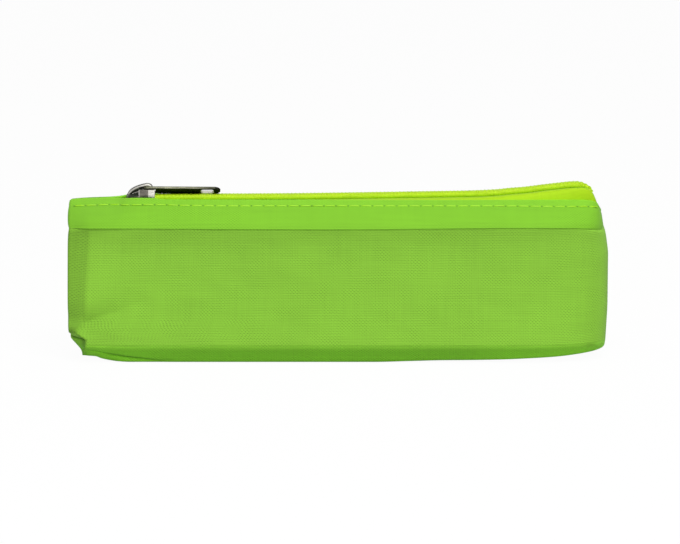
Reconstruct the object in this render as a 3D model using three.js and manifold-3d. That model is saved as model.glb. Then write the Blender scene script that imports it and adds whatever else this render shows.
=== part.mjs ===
// Soft zipped cooling case for insulin pens. Millimetres, +Z up, front towards -Y, length along X.
import * as THREE from "three";
import { mergeVertices } from "three/addons/utils/BufferGeometryUtils.js";
import Module from "manifold-3d";

const wasm = await Module();
wasm.setup();
const { smoothstep, clamp, lerp } = THREE.MathUtils;

// Outer shell
const bagLength = 210;
const bagDepth = 40;
const wallHeight = 53.3;
const hemHeight = 61.4;
const cornerRadius = 12;
const baseRadius = 6;
const panelCrown = 1.2;
const endSwell = 1.5;
const endFlat = 2;
const clothThickness = 0.6;
const bandThickness = 1.2;
const bandCrown = 0.6;
const taperRun = 39;
const taperShare = 0.55;

// Clearance between sewn or stacked layers
const layerGap = 0.3;

// Insulation boards, lining and seam bindings
const boardThickness = 3;
const boardCorner = 4;
const liningThickness = 0.5;
const bindingWidth = 9;
const bindingThickness = 1;

// Cooling gel pack
const gelLength = 150;
const gelHeight = 40;
const gelThickness = 10;
const gelSeal = 5;
const gelSealThickness = 0.8;

// Zip chain: two tapes with a row of coil teeth each
const tapeThickness = 0.5;
const tapeEdge = 0.8;
const tapeTuck = 6;
const tapeTurn = 1;
const coilPitch = 1.5;
const coilHeight = 2;
const coilHalfWidth = 2.9;
const coilCore = 1.4;
const toothRoot = 0.7;
const toothTip = 0.5;
const toothReach = 0.45;
const zipEndInset = 5;
const chainSink = 1.6;
const chainSlope = THREE.MathUtils.degToRad(1.29);
const humpRise = 1.8;
const humpInset = 15;
const humpRun = 22;
const humpDrop = 5;

// Slider that parts and closes the chain
const sliderLength = 10.6;
const sliderRestInset = 28.5;
const sliderEndInset = 60.5;
const rowParting = 1.5;
const partedAt = -4.5;
const closedAt = 1;
const channelClearance = 0.35;
const flangeThickness = 0.8;
const topPlate = 0.8;
const bottomPlate = 1.1;
const plateEdge = 0.3;
const noseDepth = 1.8;
const wedgeClearance = 0.4;
const wedgeFront = -5;
const wedgeWidest = -3.3;
const wedgeRear = -1.5;
const hemClearance = 2.3;

// Bridge over the slider that holds the pull
const bridgeFront = -4.9;
const bridgeTop = 1.8;
const bridgeRear = 4.4;
const bridgeRise = 4.5;
const bridgeThickness = 0.85;
const bridgeWidth = 2.4;
const riseLean = 0.2;
const riseBow = 0.55;
const crestLead = 0.6;
const crestRun = 0.8;
const fallBow = 0.75;

// Pull tab
const pullLength = 29;
const pullHalfWidth = 2.7;
const pullWaist = 2.4;
const waistShare = 0.4;
const pullThickness = 1.15;
const pullEdge = 0.2;
const pullBar = 1.1;
const pullRoll = THREE.MathUtils.degToRad(-27);
const pivotX = 1.5;
const pivotRise = 1.95;
const eyeLength = 3.5;
const eyeHalfWidth = 1.85;
const eyeCorner = 0.4;
const slotLength = 4.7;
const slotHalfWidth = 1.9;
const slotCorner = 0.9;
const slotTipDistance = 2.7;

// Places that follow from the sizes
const halfDepth = bagDepth / 2;
const panelEnd = bagLength / 2 - endSwell - cornerRadius;
const taperStart = bagLength / 2 - taperRun;
const noseHalfWidth = coilHalfWidth + rowParting + channelClearance + flangeThickness;
const hemHalfGap = noseHalfWidth + hemClearance;
const sliderRest = -bagLength / 2 + sliderRestInset;
const sliderEnd = bagLength / 2 - sliderEndInset;
const lipEnd = sliderEnd + wedgeRear;
const zipReach = bagLength / 2 - zipEndInset;
const humpPeak = bagLength / 2 - humpInset;
const humpStart = humpPeak - humpRun;
const coilFoot = tapeThickness / 2 + layerGap;
const coilTop = coilFoot + coilHeight;
const channelTop = coilTop + channelClearance;
const sliderTop = channelTop + topPlate;
const channelFloor = -tapeThickness / 2 - channelClearance;
const boardFace = halfDepth - clothThickness - layerGap;
const liningFace = boardFace - boardThickness - layerGap;
const liningInner = liningFace - liningThickness;
const boardFloor = clothThickness + layerGap;
const liningFloor = boardFloor + boardThickness + layerGap;
const floorTop = liningFloor + liningThickness;
const foldInner = baseRadius - clothThickness;
const foldInset = baseRadius - Math.sqrt(foldInner ** 2 - (foldInner - layerGap) ** 2);
const wallFoot = foldInset + layerGap;
const wallTop = wallHeight - layerGap;

// Roof line in the (depth, height) plane, from the wall fold up to the hem
const roofRun = halfDepth - hemHalfGap;
const roofRise = hemHeight - wallHeight;
const roofLength = Math.hypot(roofRun, roofRise);
const roofAlong = [-roofRun / roofLength, roofRise / roofLength];
const roofInward = [-roofAlong[1], roofAlong[0]];

const roundSteps = 6;
const sheetSteps = 4;
const wallLevels = 6;
const bandLevels = 5;
const panelStations = 28;
const tapeStep = 4;
const bandStep = 7;

function material(color, roughness, metalness = 0) {
  return new THREE.MeshStandardMaterial({ color, roughness, metalness });
}

const panelCloth = material(0x8bc53f, 0.85);
const bandCloth = material(0x8ad43a, 0.8);
const foam = material(0xf2f3ee, 0.9);
const foil = material(0xc9cdd2, 0.3, 0.6);
const bindingCloth = material(0x7fb63c, 0.85);
const gelFilm = material(0xd6e8f2, 0.25);
const tapeCloth = material(0xb0e61e, 0.75);
const coilNylon = material(0xb6ea28, 0.45);
const gunmetal = material(0x55534f, 0.3, 1);

// Closed skin over rings, each an outer run of points and an equal inner run coming back
function loft(rings) {
  const count = rings[0].length;
  const end = (rings.length - 1) * count;
  const index = [];
  for (let ring = 0; ring + 1 < rings.length; ring++) {
    for (let j = 0; j < count; j++) {
      const a = ring * count + j;
      const b = ring * count + ((j + 1) % count);
      index.push(a, b, b + count, a, b + count, a + count);
    }
  }
  for (let j = 0; j + 1 < count / 2; j++) {
    const far = count - 1 - j;
    index.push(j, far, far - 1, j, far - 1, j + 1);
    index.push(end + j, end + j + 1, end + far - 1, end + j, end + far - 1, end + far);
  }
  const geometry = new THREE.BufferGeometry();
  geometry.setAttribute("position", new THREE.Float32BufferAttribute(rings.flat(2), 3));
  geometry.setIndex(index);
  return facingOut(geometry);
}

// Turns every triangle round if the skin encloses a negative volume
function facingOut(geometry) {
  const position = geometry.getAttribute("position");
  const index = geometry.getIndex().array;
  const [a, b, c] = [new THREE.Vector3(), new THREE.Vector3(), new THREE.Vector3()];
  let volume = 0;
  for (let i = 0; i < index.length; i += 3) {
    a.fromBufferAttribute(position, index[i]);
    b.fromBufferAttribute(position, index[i + 1]);
    c.fromBufferAttribute(position, index[i + 2]);
    volume += a.dot(b.cross(c));
  }
  if (volume < 0) geometry.setIndex(Array.from(index).reverse());
  geometry.computeVertexNormals();
  return geometry;
}

function toSolid(geometry) {
  const bare = new THREE.BufferGeometry();
  bare.setAttribute("position", geometry.getAttribute("position"));
  bare.setIndex(geometry.getIndex());
  const merged = mergeVertices(bare, 1e-4);
  return new wasm.Manifold(
    new wasm.Mesh({
      numProp: 3,
      vertProperties: new Float32Array(merged.getAttribute("position").array),
      triVerts: new Uint32Array(merged.getIndex().array),
    }),
  );
}

function toGeometry(solid) {
  const skin = solid.getMesh();
  const geometry = new THREE.BufferGeometry();
  geometry.setAttribute("position", new THREE.Float32BufferAttribute(skin.vertProperties, 3));
  geometry.setIndex(Array.from(skin.triVerts));
  geometry.computeVertexNormals();
  return geometry;
}

function mesh(name, geometry, finish) {
  const part = new THREE.Mesh(geometry, finish);
  part.name = name;
  return part;
}

// Evenly spaced values from start to end, both included
function spaced(start, end, steps) {
  return Array.from({ length: steps + 1 }, (_, i) => lerp(start, end, i / steps));
}

function polygon(points) {
  return new THREE.Shape(points.map(([x, y]) => new THREE.Vector2(x, y)));
}

function extrudeUp(shape, bottom, top) {
  const options = { depth: top - bottom, bevelEnabled: false, curveSegments: sheetSteps };
  return new THREE.ExtrudeGeometry(shape, options).translate(0, 0, bottom);
}

// Extrusion whose rims are broken by a small bevel
function softExtrude(shape, bottom, top, edge) {
  const geometry = new THREE.ExtrudeGeometry(shape, {
    depth: top - bottom - 2 * edge,
    bevelThickness: edge,
    bevelSize: edge,
    bevelOffset: -edge,
    bevelSegments: 1,
    curveSegments: sheetSteps,
  });
  return geometry.translate(0, 0, bottom + edge);
}

function roundedRectangle(left, bottom, right, top, radius) {
  const shape = new THREE.Shape();
  shape.moveTo(left + radius, bottom);
  shape.lineTo(right - radius, bottom);
  shape.absarc(right - radius, bottom + radius, radius, -Math.PI / 2, 0);
  shape.lineTo(right, top - radius);
  shape.absarc(right - radius, top - radius, radius, 0, Math.PI / 2);
  shape.lineTo(left + radius, top);
  shape.absarc(left + radius, top - radius, radius, Math.PI / 2, Math.PI);
  shape.lineTo(left, bottom + radius);
  shape.absarc(left + radius, bottom + radius, radius, Math.PI, Math.PI * 1.5);
  return shape;
}

// Half length of the shell at a height: the two ends swell between base and hem
function halfLengthAt(z) {
  const t = (2 * z - baseRadius - hemHeight) / (hemHeight - baseRadius);
  return bagLength / 2 - endSwell * t * t;
}

// Half depth of the shell at a height: upright walls, then the roof leaning in to the hem
function halfDepthAt(z) {
  return lerp(halfDepth, hemHalfGap, clamp((z - wallHeight) / roofRise, 0, 1));
}

// The long walls draw in towards the right end
function drawIn(geometry) {
  const position = geometry.getAttribute("position");
  for (let i = 0; i < position.count; i++) {
    const t = clamp((position.getX(i) - taperStart) / taperRun, 0, 1);
    position.setY(i, position.getY(i) * (1 - taperShare * t ** 2));
  }
  geometry.computeVertexNormals();
  return geometry;
}

// One rounded corner in plan, from the long wall round to the end
function cornerArc(start, reach, depth, radius) {
  return spaced(0, Math.PI / 2, roundSteps).map((a) => [
    start + reach * Math.sin(a),
    -depth + radius * (1 - Math.cos(a)),
  ]);
}

// Plan of one end from its front edge to its back edge
function endPath(start, reach, depth, radius) {
  const front = cornerArc(start, reach, depth, radius);
  return [...front, ...front.map(([x, y]) => [x, -y]).reverse()];
}

// Whole plan, from the middle of the right end along the back wall and home along the front
function planOutline(start, reach, depth, radius) {
  const corner = cornerArc(start, reach, depth, radius);
  const wall = spaced(start, -start, panelStations).slice(1, -1).map((x) => [x, depth]);
  const right = corner.map(([x, y]) => [x, -y]).reverse();
  const left = corner.map(([x, y]) => [-x, -y]);
  const back = [...right, ...wall, ...left];
  return [...back, ...back.map(([x, y]) => [x, -y]).reverse()];
}

// Upright sheet round one end; side is -1 for the left end and 1 for the right
function endSheet(side, levels, thickness, outline) {
  const rings = levels.map((z) => {
    const { reach, depth, radius } = outline(z);
    const start = panelEnd + layerGap / 2;
    const outer = endPath(start, reach, depth, radius);
    const inner = endPath(start, reach - thickness, depth - thickness, radius - thickness);
    return [...outer, ...inner.reverse()].map(([x, y]) => [side * x, y, z]);
  });
  return drawIn(loft(rings));
}

function outerEnd(side) {
  const levels = [
    ...spaced(baseRadius + layerGap, wallHeight, wallLevels),
    ...spaced(wallHeight, hemHeight, 2).slice(1),
  ];
  return endSheet(side, levels, clothThickness, (z) => ({
    reach: halfLengthAt(z) - panelEnd - layerGap / 2,
    depth: halfDepthAt(z),
    radius: Math.min(cornerRadius, halfDepthAt(z) - endFlat / 2),
  }));
}

function liningEnd(side) {
  const levels = spaced(wallFoot, wallTop, wallLevels);
  return endSheet(side, levels, liningThickness, (z) => ({
    reach: halfLengthAt(z) - clothThickness - layerGap - panelEnd - layerGap / 2,
    depth: liningFace,
    radius: liningFace - bindingWidth / 2 - layerGap,
  }));
}

// Base: a shallow dish whose rim folds up into the walls
function outerBase() {
  const ring = (inset, z) => {
    const reach = halfLengthAt(baseRadius) - inset - panelEnd;
    const outline = planOutline(panelEnd, reach, halfDepth - inset, cornerRadius - inset);
    return outline.map(([x, y]) => [x, y, z]);
  };
  const fold = (radius) => (a) =>
    ring(baseRadius - radius * Math.sin(a), baseRadius - radius * Math.cos(a));
  const angles = spaced(0, Math.PI / 2, roundSteps);
  const outside = angles.map(fold(baseRadius));
  const inside = angles.map(fold(foldInner)).reverse();
  return drawIn(loft([...outside, ...inside]));
}

// Front or back panel, swelling between its edges; side is -1 for the front
function outerPanel(side) {
  const bottom = baseRadius + layerGap;
  const levels = spaced(bottom, wallTop, wallLevels);
  const reach = panelEnd - layerGap / 2;
  const rings = spaced(-reach, reach, panelStations).map((x) => {
    const outer = levels.map((z) => {
      const up = (2 * z - bottom - wallTop) / (wallTop - bottom);
      const crown = panelCrown * (1 - (x / reach) ** 4) * (1 - up ** 2);
      return [x, side * (halfDepth + crown), z];
    });
    const inner = outer.map(([px, y, z]) => [px, y - side * clothThickness, z]);
    return [...outer, ...inner.reverse()];
  });
  return drawIn(loft(rings));
}

// Board or lining sheet with round corners against a long wall, outer face at the given depth
function uprightSheet(side, face, thickness, reach, radius) {
  const corner = spaced(0, Math.PI / 2, sheetSteps).map((a) => [
    reach - radius * (1 - Math.sin(a)),
    radius * (1 - Math.cos(a)),
  ]);
  const straight = spaced(radius - reach, reach - radius, panelStations).slice(1, -1);
  const stations = [
    ...corner.map(([x, cut]) => [-x, cut]).reverse(),
    ...straight.map((x) => [x, 0]),
    ...corner,
  ];
  const [outer, inner] = [side * face, side * (face - thickness)];
  const rings = stations.map(([x, cut]) => {
    const [low, high] = [wallFoot + cut, wallTop - cut];
    return [[x, outer, low], [x, outer, high], [x, inner, high], [x, inner, low]];
  });
  return drawIn(loft(rings));
}

// Flat board or lining sheet on the base
function floorSheet(bottom, thickness, length, depth, radius) {
  const shape = polygon(planOutline(length - radius, radius, depth, radius));
  return drawIn(extrudeUp(shape, bottom, bottom + thickness));
}

function baseBoard() {
  const inset = foldInset + layerGap;
  const length = halfLengthAt(baseRadius) - inset;
  return floorSheet(boardFloor, boardThickness, length, halfDepth - inset, cornerRadius - inset);
}

function baseLining() {
  const length = halfLengthAt(wallFoot) - clothThickness - liningThickness - 2 * layerGap;
  const radius = liningFace - bindingWidth / 2 - layerGap;
  return floorSheet(liningFloor, liningThickness, length, liningInner - layerGap, radius);
}

// Strip that covers the upright seam inside one end
function seamBinding(side) {
  const rings = spaced(floorTop + layerGap, wallTop, wallLevels).map((z) => {
    const outer = halfLengthAt(z) - clothThickness - liningThickness - 2 * layerGap;
    const inner = outer - bindingThickness;
    const half = bindingWidth / 2;
    const corners = [[outer, -half], [outer, half], [inner, half], [inner, -half]];
    return corners.map(([x, y]) => [side * x, y, z]);
  });
  return drawIn(loft(rings));
}

// Pillow of gel with flat sealed edges, standing against the back lining
function gelPack() {
  const bottom = floorTop + layerGap;
  const middle = liningInner - layerGap - gelThickness / 2;
  const swell = (t) => Math.max(0, 1 - Math.abs(t) ** 3);
  const rings = spaced(-gelLength / 2, gelLength / 2, panelStations).map((x) => {
    const along = swell(x / (gelLength / 2 - gelSeal));
    const front = spaced(0, gelHeight, wallLevels + 2).map((z) => {
      const up = swell((z - gelHeight / 2) / (gelHeight / 2 - gelSeal));
      const half = lerp(gelSealThickness, gelThickness, along * up) / 2;
      return [x, middle - half, bottom + z];
    });
    const back = front.map(([px, y, z]) => [px, 2 * middle - y, z]).reverse();
    return [...front, ...back];
  });
  return loft(rings);
}

// Point of the roof: distance up from the wall fold, and depth in from its outer face
function roofPoint(along, inward) {
  return [
    halfDepth + along * roofAlong[0] + inward * roofInward[0],
    wallHeight + along * roofAlong[1] + inward * roofInward[1],
  ];
}

// Hem band: cloth folded double, from the wall fold to the zip, with a level foot
function hemBand(side, from, to) {
  const footShift = (bandThickness * roofRun) / roofRise;
  const bulge = (t) => roofPoint(roofLength * t, -4 * bandCrown * t * (1 - t));
  const fold = roofPoint(roofLength + bandThickness / 2, bandThickness / 2);
  const outer = [...spaced(0, 1, bandLevels - 1).map(bulge), fold];
  const inner = spaced(footShift, roofLength, bandLevels).map((along) => roofPoint(along, bandThickness));
  const ring = [...outer, ...inner.reverse()];
  const stations = spaced(from, to, Math.ceil((to - from) / bandStep));
  return drawIn(loft(stations.map((x) => ring.map(([y, z]) => [x, side * y, z]))));
}

// Height of the tape plane along the zip: a slight slope, then a hump at the right end
function chainHeight(x) {
  const straight = hemHeight - chainSink + Math.tan(chainSlope) * (x - sliderRest);
  const past = Math.max(0, x - humpPeak) / (zipReach - humpPeak);
  return straight + humpRise * smoothstep(x, humpStart, humpPeak) - humpDrop * past ** 2;
}

// How far each row stands off the middle line: parted on the nose side of the slider
function rowShift(fromSlider) {
  return rowParting * (1 - smoothstep(fromSlider, partedAt, closedAt));
}

// Ring of even thickness about an open path of (depth, height) points
function thicken(path, thickness) {
  const side = (sign) =>
    path.map(([y, z], i) => {
      const [y0, z0] = path[Math.max(0, i - 1)];
      const [y1, z1] = path[Math.min(path.length - 1, i + 1)];
      const length = Math.hypot(y1 - y0, z1 - z0);
      const offset = (sign * thickness) / 2 / length;
      return [y - offset * (z1 - z0), z + offset * (y1 - y0)];
    });
  return [...side(1), ...side(-1).reverse()];
}

// Zip tape: level under the coil, then down to the hem and sewn on under the band
function zipTape(side, from, to) {
  const sewn = bandThickness + layerGap + tapeThickness / 2;
  const hemTurn = roofLength + bandThickness / 2 + layerGap;
  const endHalfWidth = coilHalfWidth + rowParting + layerGap;
  const tuckEnd = panelEnd - tapeTurn;
  const turns = [panelEnd, tuckEnd, tuckEnd - tapeTuck].flatMap((x) => [-x, x]);
  const steps = Math.ceil((to - from) / tapeStep);
  const stations = [...spaced(from, to, steps), ...turns.filter((x) => x > from && x < to)];
  const rings = stations.sort((a, b) => a - b).map((x) => {
    const height = chainHeight(x);
    const wide = clamp((panelEnd - Math.abs(x)) / tapeTurn, 0, 1);
    const tucked = clamp((tuckEnd - Math.abs(x)) / tapeTuck, 0, 1);
    const narrow = (inset, [y, z]) => [
      lerp(endHalfWidth - inset, y, wide),
      lerp(height, z, wide),
    ];
    const path = [
      [tapeEdge + rowShift(x - sliderRest), height],
      narrow(2 * layerGap, [noseHalfWidth + layerGap, height]),
      narrow(layerGap, roofPoint(hemTurn, sewn)),
      narrow(0, roofPoint(lerp(hemTurn - layerGap, roofLength - tapeTuck, tucked), sewn)),
    ];
    return thicken(path, tapeThickness).map(([y, z]) => [x, side * y, z]);
  });
  return drawIn(loft(rings));
}

// Row of coil teeth that mesh with the other row across the middle line
function zipCoil(side, from, to) {
  const offset = side < 0 ? 0 : coilPitch / 2;
  const first = Math.ceil((from - offset + toothRoot / 2) / coilPitch);
  const last = Math.floor((to - offset - toothRoot / 2) / coilPitch);
  const root = coilHalfWidth - coilCore;
  const points = [];
  const triangles = [];
  for (let k = first; k <= last; k++) {
    const x = offset + k * coilPitch;
    const p = points.length;
    points.push([x - toothRoot / 2, coilHalfWidth], [x - toothRoot / 2, root]);
    points.push([x - toothTip / 2, -toothReach], [x + toothTip / 2, -toothReach]);
    points.push([x + toothRoot / 2, root]);
    triangles.push([p + 1, p + 2, p + 3], [p + 1, p + 3, p + 4]);
    triangles.push([p, p + 1, p + 4], [p, p + 4, p + 5]);
    if (k < last) triangles.push([p + 4, p + 6, p + 5]);
  }
  points.push([offset + last * coilPitch + toothRoot / 2, coilHalfWidth]);
  const follow = ([x, y, z]) => [
    x,
    side * (y + rowShift(x - sliderRest)),
    z + chainHeight(x),
  ];
  return slab(points, triangles, coilFoot, coilTop, follow);
}

// Plan triangles thickened from bottom to top, each point then set in place by follow
function slab(points, triangles, bottom, top, follow) {
  const count = points.length;
  const index = [];
  const rims = new Map();
  for (const [a, b, c] of triangles) {
    index.push(a, c, b, a + count, b + count, c + count);
    for (const [p, q] of [[a, b], [b, c], [c, a]]) {
      if (!rims.delete(`${q} ${p}`)) rims.set(`${p} ${q}`, [p, q]);
    }
  }
  for (const [p, q] of rims.values()) index.push(p, q, q + count, p, q + count, p + count);
  const placed = [bottom, top].flatMap((z) => points.map(([x, y]) => follow([x, y, z])));
  const geometry = new THREE.BufferGeometry();
  geometry.setAttribute("position", new THREE.Float32BufferAttribute(placed.flat(), 3));
  geometry.setIndex(index);
  return facingOut(geometry);
}

// Plan of the slider: narrow behind, wide at the shoulders, with a round nose
function sliderOutline() {
  const half = (x) => coilHalfWidth + rowShift(x) + channelClearance + flangeThickness;
  const rear = sliderLength / 2;
  const shoulder = noseDepth - rear;
  const flank = spaced(rear - plateEdge, shoulder, roundSteps).map((x) => [x, half(x)]);
  const nose = spaced(0, Math.PI / 2, roundSteps).slice(1).map((a) => [
    shoulder - noseDepth * Math.sin(a),
    half(shoulder) * Math.cos(a),
  ]);
  const upper = [[rear, half(rear) - plateEdge], ...flank, ...nose];
  const lower = upper.slice(0, -1).map(([x, y]) => [x, -y]).reverse();
  return polygon([...upper, ...lower]);
}

// Room for the two rows: one channel behind, spreading to two beside the wedge
function sliderChannel() {
  const stations = spaced(sliderLength, -sliderLength, 4 * roundSteps);
  const upper = stations.map((x) => [x, coilHalfWidth + rowShift(x) + channelClearance]);
  const lower = upper.map(([x, y]) => [x, -y]).reverse();
  return polygon([...upper, ...lower]);
}

function sliderBridge() {
  const rise = new THREE.CubicBezierCurve(
    new THREE.Vector2(bridgeFront, 0),
    new THREE.Vector2(lerp(bridgeFront, bridgeTop, riseLean), bridgeRise * riseBow),
    new THREE.Vector2(lerp(bridgeFront, bridgeTop, crestLead), bridgeRise),
    new THREE.Vector2(bridgeTop, bridgeRise),
  );
  const fall = new THREE.CubicBezierCurve(
    new THREE.Vector2(bridgeTop, bridgeRise),
    new THREE.Vector2(lerp(bridgeTop, bridgeRear, crestRun), bridgeRise),
    new THREE.Vector2(bridgeRear, bridgeRise * fallBow),
    new THREE.Vector2(bridgeRear, 0),
  );
  const middle = [...rise.getPoints(2 * roundSteps), ...fall.getPoints(roundSteps).slice(1)];
  const sunk = topPlate / 2;
  const path = [
    [bridgeFront, -sunk],
    ...middle.map(({ x, y }) => [x, y]),
    [bridgeRear, -sunk],
  ];
  const ring = thicken(path, bridgeThickness);
  const rings = [-bridgeWidth / 2, bridgeWidth / 2].map((y) =>
    ring.map(([x, z]) => [x, y, z - bridgeThickness / 2 + sliderTop]),
  );
  return loft(rings);
}

function sliderBody() {
  const outline = sliderOutline();
  const flangeFoot = tapeThickness / 2 + channelClearance;
  const wedgeHalf = rowParting - toothReach - wedgeClearance;
  const wedge = polygon([
    [wedgeFront, 0],
    [wedgeWidest, -wedgeHalf],
    [wedgeRear, 0],
    [wedgeWidest, wedgeHalf],
  ]);
  const top = toSolid(softExtrude(outline, channelTop, sliderTop, plateEdge));
  const bottom = toSolid(softExtrude(outline, channelFloor - bottomPlate, channelFloor, plateEdge));
  const flanges = toSolid(extrudeUp(outline, flangeFoot, channelTop + topPlate / 2)).subtract(
    toSolid(extrudeUp(sliderChannel(), channelFloor, channelTop)),
  );
  const post = toSolid(extrudeUp(wedge, channelFloor - bottomPlate / 2, channelTop + topPlate / 2));
  const bridge = toSolid(sliderBridge());
  return toGeometry(top.add(flanges).add(post).add(bottom).add(bridge));
}

// Flat tab with an eye round the bridge and a slot near its tip; x = 0 at the eye's bar
function sliderPull() {
  const tip = pullLength;
  const back = -pullBar / 2;
  const neck = pullBar / 2 + eyeLength + pullBar;
  const waist = lerp(neck, tip, waistShare);
  const shape = new THREE.Shape();
  shape.moveTo(back, pullHalfWidth - pullBar);
  shape.quadraticCurveTo(back, pullHalfWidth, back + pullBar, pullHalfWidth);
  shape.lineTo(neck, pullHalfWidth);
  shape.quadraticCurveTo(waist, pullWaist, tip - pullHalfWidth, pullHalfWidth);
  shape.absarc(tip - pullHalfWidth, 0, pullHalfWidth, Math.PI / 2, 0, true);
  shape.absarc(tip - pullHalfWidth, 0, pullHalfWidth, 0, -Math.PI / 2, true);
  shape.quadraticCurveTo(waist, -pullWaist, neck, -pullHalfWidth);
  shape.lineTo(back + pullBar, -pullHalfWidth);
  shape.quadraticCurveTo(back, -pullHalfWidth, back, pullBar - pullHalfWidth);
  const eyeStart = pullBar / 2;
  const slotEnd = tip - slotTipDistance;
  shape.holes.push(
    roundedRectangle(eyeStart, -eyeHalfWidth, eyeStart + eyeLength, eyeHalfWidth, eyeCorner),
    roundedRectangle(slotEnd - slotLength, -slotHalfWidth, slotEnd, slotHalfWidth, slotCorner),
  );
  return softExtrude(shape, -pullThickness / 2, pullThickness / 2, pullEdge);
}

// Assembly
const coolingCase = new THREE.Group();

coolingCase.add(mesh("outer_base", outerBase(), panelCloth));
coolingCase.add(mesh("insulation_base_board", baseBoard(), foam));
coolingCase.add(mesh("lining_base", baseLining(), foil));
coolingCase.add(mesh("gel_pack", gelPack(), gelFilm));

for (const [label, side] of [["front", -1], ["back", 1]]) {
  const boardReach = panelEnd - layerGap / 2;
  const lipStart = -panelEnd + layerGap / 2;
  const lipStop = lipEnd - layerGap / 2;
  const restStart = lipEnd + layerGap / 2;
  const board = uprightSheet(side, boardFace, boardThickness, boardReach, boardCorner);
  const lining = uprightSheet(side, liningFace, liningThickness, boardReach, liningThickness);
  coolingCase.add(mesh(`outer_${label}_panel`, outerPanel(side), panelCloth));
  coolingCase.add(mesh(`insulation_${label}_board`, board, foam));
  coolingCase.add(mesh(`lining_${label}`, lining, foil));
  coolingCase.add(mesh(`${label}_band`, hemBand(side, lipStart, lipStop), bandCloth));
  coolingCase.add(mesh(`${label}_band_end`, hemBand(side, restStart, boardReach), bandCloth));
  coolingCase.add(mesh(`zip_tape_${label}`, zipTape(side, -zipReach, lipStop), tapeCloth));
  coolingCase.add(mesh(`zip_tape_${label}_end`, zipTape(side, restStart, zipReach), tapeCloth));
  coolingCase.add(mesh(`zip_coil_${label}`, zipCoil(side, -zipReach, lipStop), coilNylon));
  coolingCase.add(mesh(`zip_coil_${label}_end`, zipCoil(side, restStart, zipReach), coilNylon));
}

for (const [label, side] of [["left", -1], ["right", 1]]) {
  coolingCase.add(mesh(`outer_${label}_end`, outerEnd(side), panelCloth));
  coolingCase.add(mesh(`lining_${label}_end`, liningEnd(side), foil));
  coolingCase.add(mesh(`${label}_seam_binding`, seamBinding(side), bindingCloth));
}

const slider = new THREE.Group();
slider.position.set(sliderRest, 0, chainHeight(sliderRest));
slider.rotation.y = -chainSlope;
slider.add(mesh("slider_body", sliderBody(), gunmetal));
coolingCase.add(slider);

const pull = new THREE.Group();
pull.position.set(pivotX, 0, sliderTop + pivotRise);
pull.rotation.set(pullRoll, chainSlope, 0, "YXZ");
pull.add(mesh("slider_pull", sliderPull(), gunmetal));
slider.add(pull);

export default coolingCase;
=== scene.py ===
# Soft zipped cooling case: cloth, zip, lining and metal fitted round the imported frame.
import bpy
import bmesh
import math
import numpy as np
from mathutils import Vector, Matrix


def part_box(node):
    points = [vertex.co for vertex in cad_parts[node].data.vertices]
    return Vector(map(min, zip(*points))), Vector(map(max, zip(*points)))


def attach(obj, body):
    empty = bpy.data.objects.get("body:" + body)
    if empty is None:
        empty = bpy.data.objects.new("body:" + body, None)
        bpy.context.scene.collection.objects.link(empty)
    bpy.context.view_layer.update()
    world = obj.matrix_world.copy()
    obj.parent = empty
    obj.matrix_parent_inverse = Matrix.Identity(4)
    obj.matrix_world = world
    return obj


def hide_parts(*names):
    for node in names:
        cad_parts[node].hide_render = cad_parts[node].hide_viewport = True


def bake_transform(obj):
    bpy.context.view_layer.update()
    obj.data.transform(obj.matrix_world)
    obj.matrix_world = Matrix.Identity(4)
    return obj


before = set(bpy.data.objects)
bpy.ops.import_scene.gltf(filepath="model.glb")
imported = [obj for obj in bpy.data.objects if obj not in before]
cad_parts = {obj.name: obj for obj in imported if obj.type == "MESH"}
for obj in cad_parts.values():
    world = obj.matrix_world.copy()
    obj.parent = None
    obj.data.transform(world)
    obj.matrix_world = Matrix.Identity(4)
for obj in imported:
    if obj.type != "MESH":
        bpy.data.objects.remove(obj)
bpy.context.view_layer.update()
mm = 0.001  # shapes below are worked out in millimetres and put into the mesh in metres
print("frame loaded:", len(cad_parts), "nodes")


# curves and easing

def smooth(value, low, high):
    t = np.clip((np.asarray(value, float) - low) / (high - low), 0, 1)
    return t * t * (3 - 2 * t)


def fade(value, low, high):  # falls from one to nothing
    return 1 - smooth(value, low, high)


def within(value, low, high, far, end):  # rises, holds and falls again
    return smooth(value, low, high) * fade(value, far, end)


def hump(value, width):  # one in the middle, falling off to both sides
    return np.exp(-(value / width) ** 2)


def glide(value, knots):  # smooth curve through knots that never overshoots them
    xs, ys = np.array(knots, float).T
    rise = np.diff(ys) / np.diff(xs)
    slopes = np.zeros(len(xs))
    slopes[0], slopes[-1] = rise[0], rise[-1]
    before, after = rise[:-1], rise[1:]
    same = before * after > 0
    slopes[1:-1][same] = 2 * before[same] * after[same] / (before[same] + after[same])
    x = np.clip(np.asarray(value, float), xs[0], xs[-1])
    k = np.clip(np.searchsorted(xs, x) - 1, 0, len(xs) - 2)
    step = xs[k + 1] - xs[k]
    t = (x - xs[k]) / step
    return ((1 + 2 * t) * (1 - t) ** 2 * ys[k] + t * (1 - t) ** 2 * step * slopes[k]
            + t * t * (3 - 2 * t) * ys[k + 1] + t * t * (t - 1) * step * slopes[k + 1])


def bezier(a, b, c, d, steps):
    t = np.linspace(0, 1, steps + 1)[:, None]
    a, b, c, d = (np.array(p, float) for p in (a, b, c, d))
    return a * (1 - t) ** 3 + 3 * b * t * (1 - t) ** 2 + 3 * c * t * t * (1 - t) + d * t ** 3


def arcLength(points):
    steps = np.linalg.norm(np.diff(points, axis=0), axis=1)
    return np.concatenate([[0], np.cumsum(steps)])


def eased(knots, count):  # evenly spaced points on a smooth line through knots
    run = arcLength(knots)
    fine = np.linspace(0, run[-1], count)
    return np.stack([glide(fine, np.column_stack([run, knots[:, k]])) for k in range(2)], axis=1)


def unit(rows):  # the same directions at length one
    return rows / np.maximum(np.linalg.norm(rows, axis=-1, keepdims=True), 1e-9)


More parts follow.
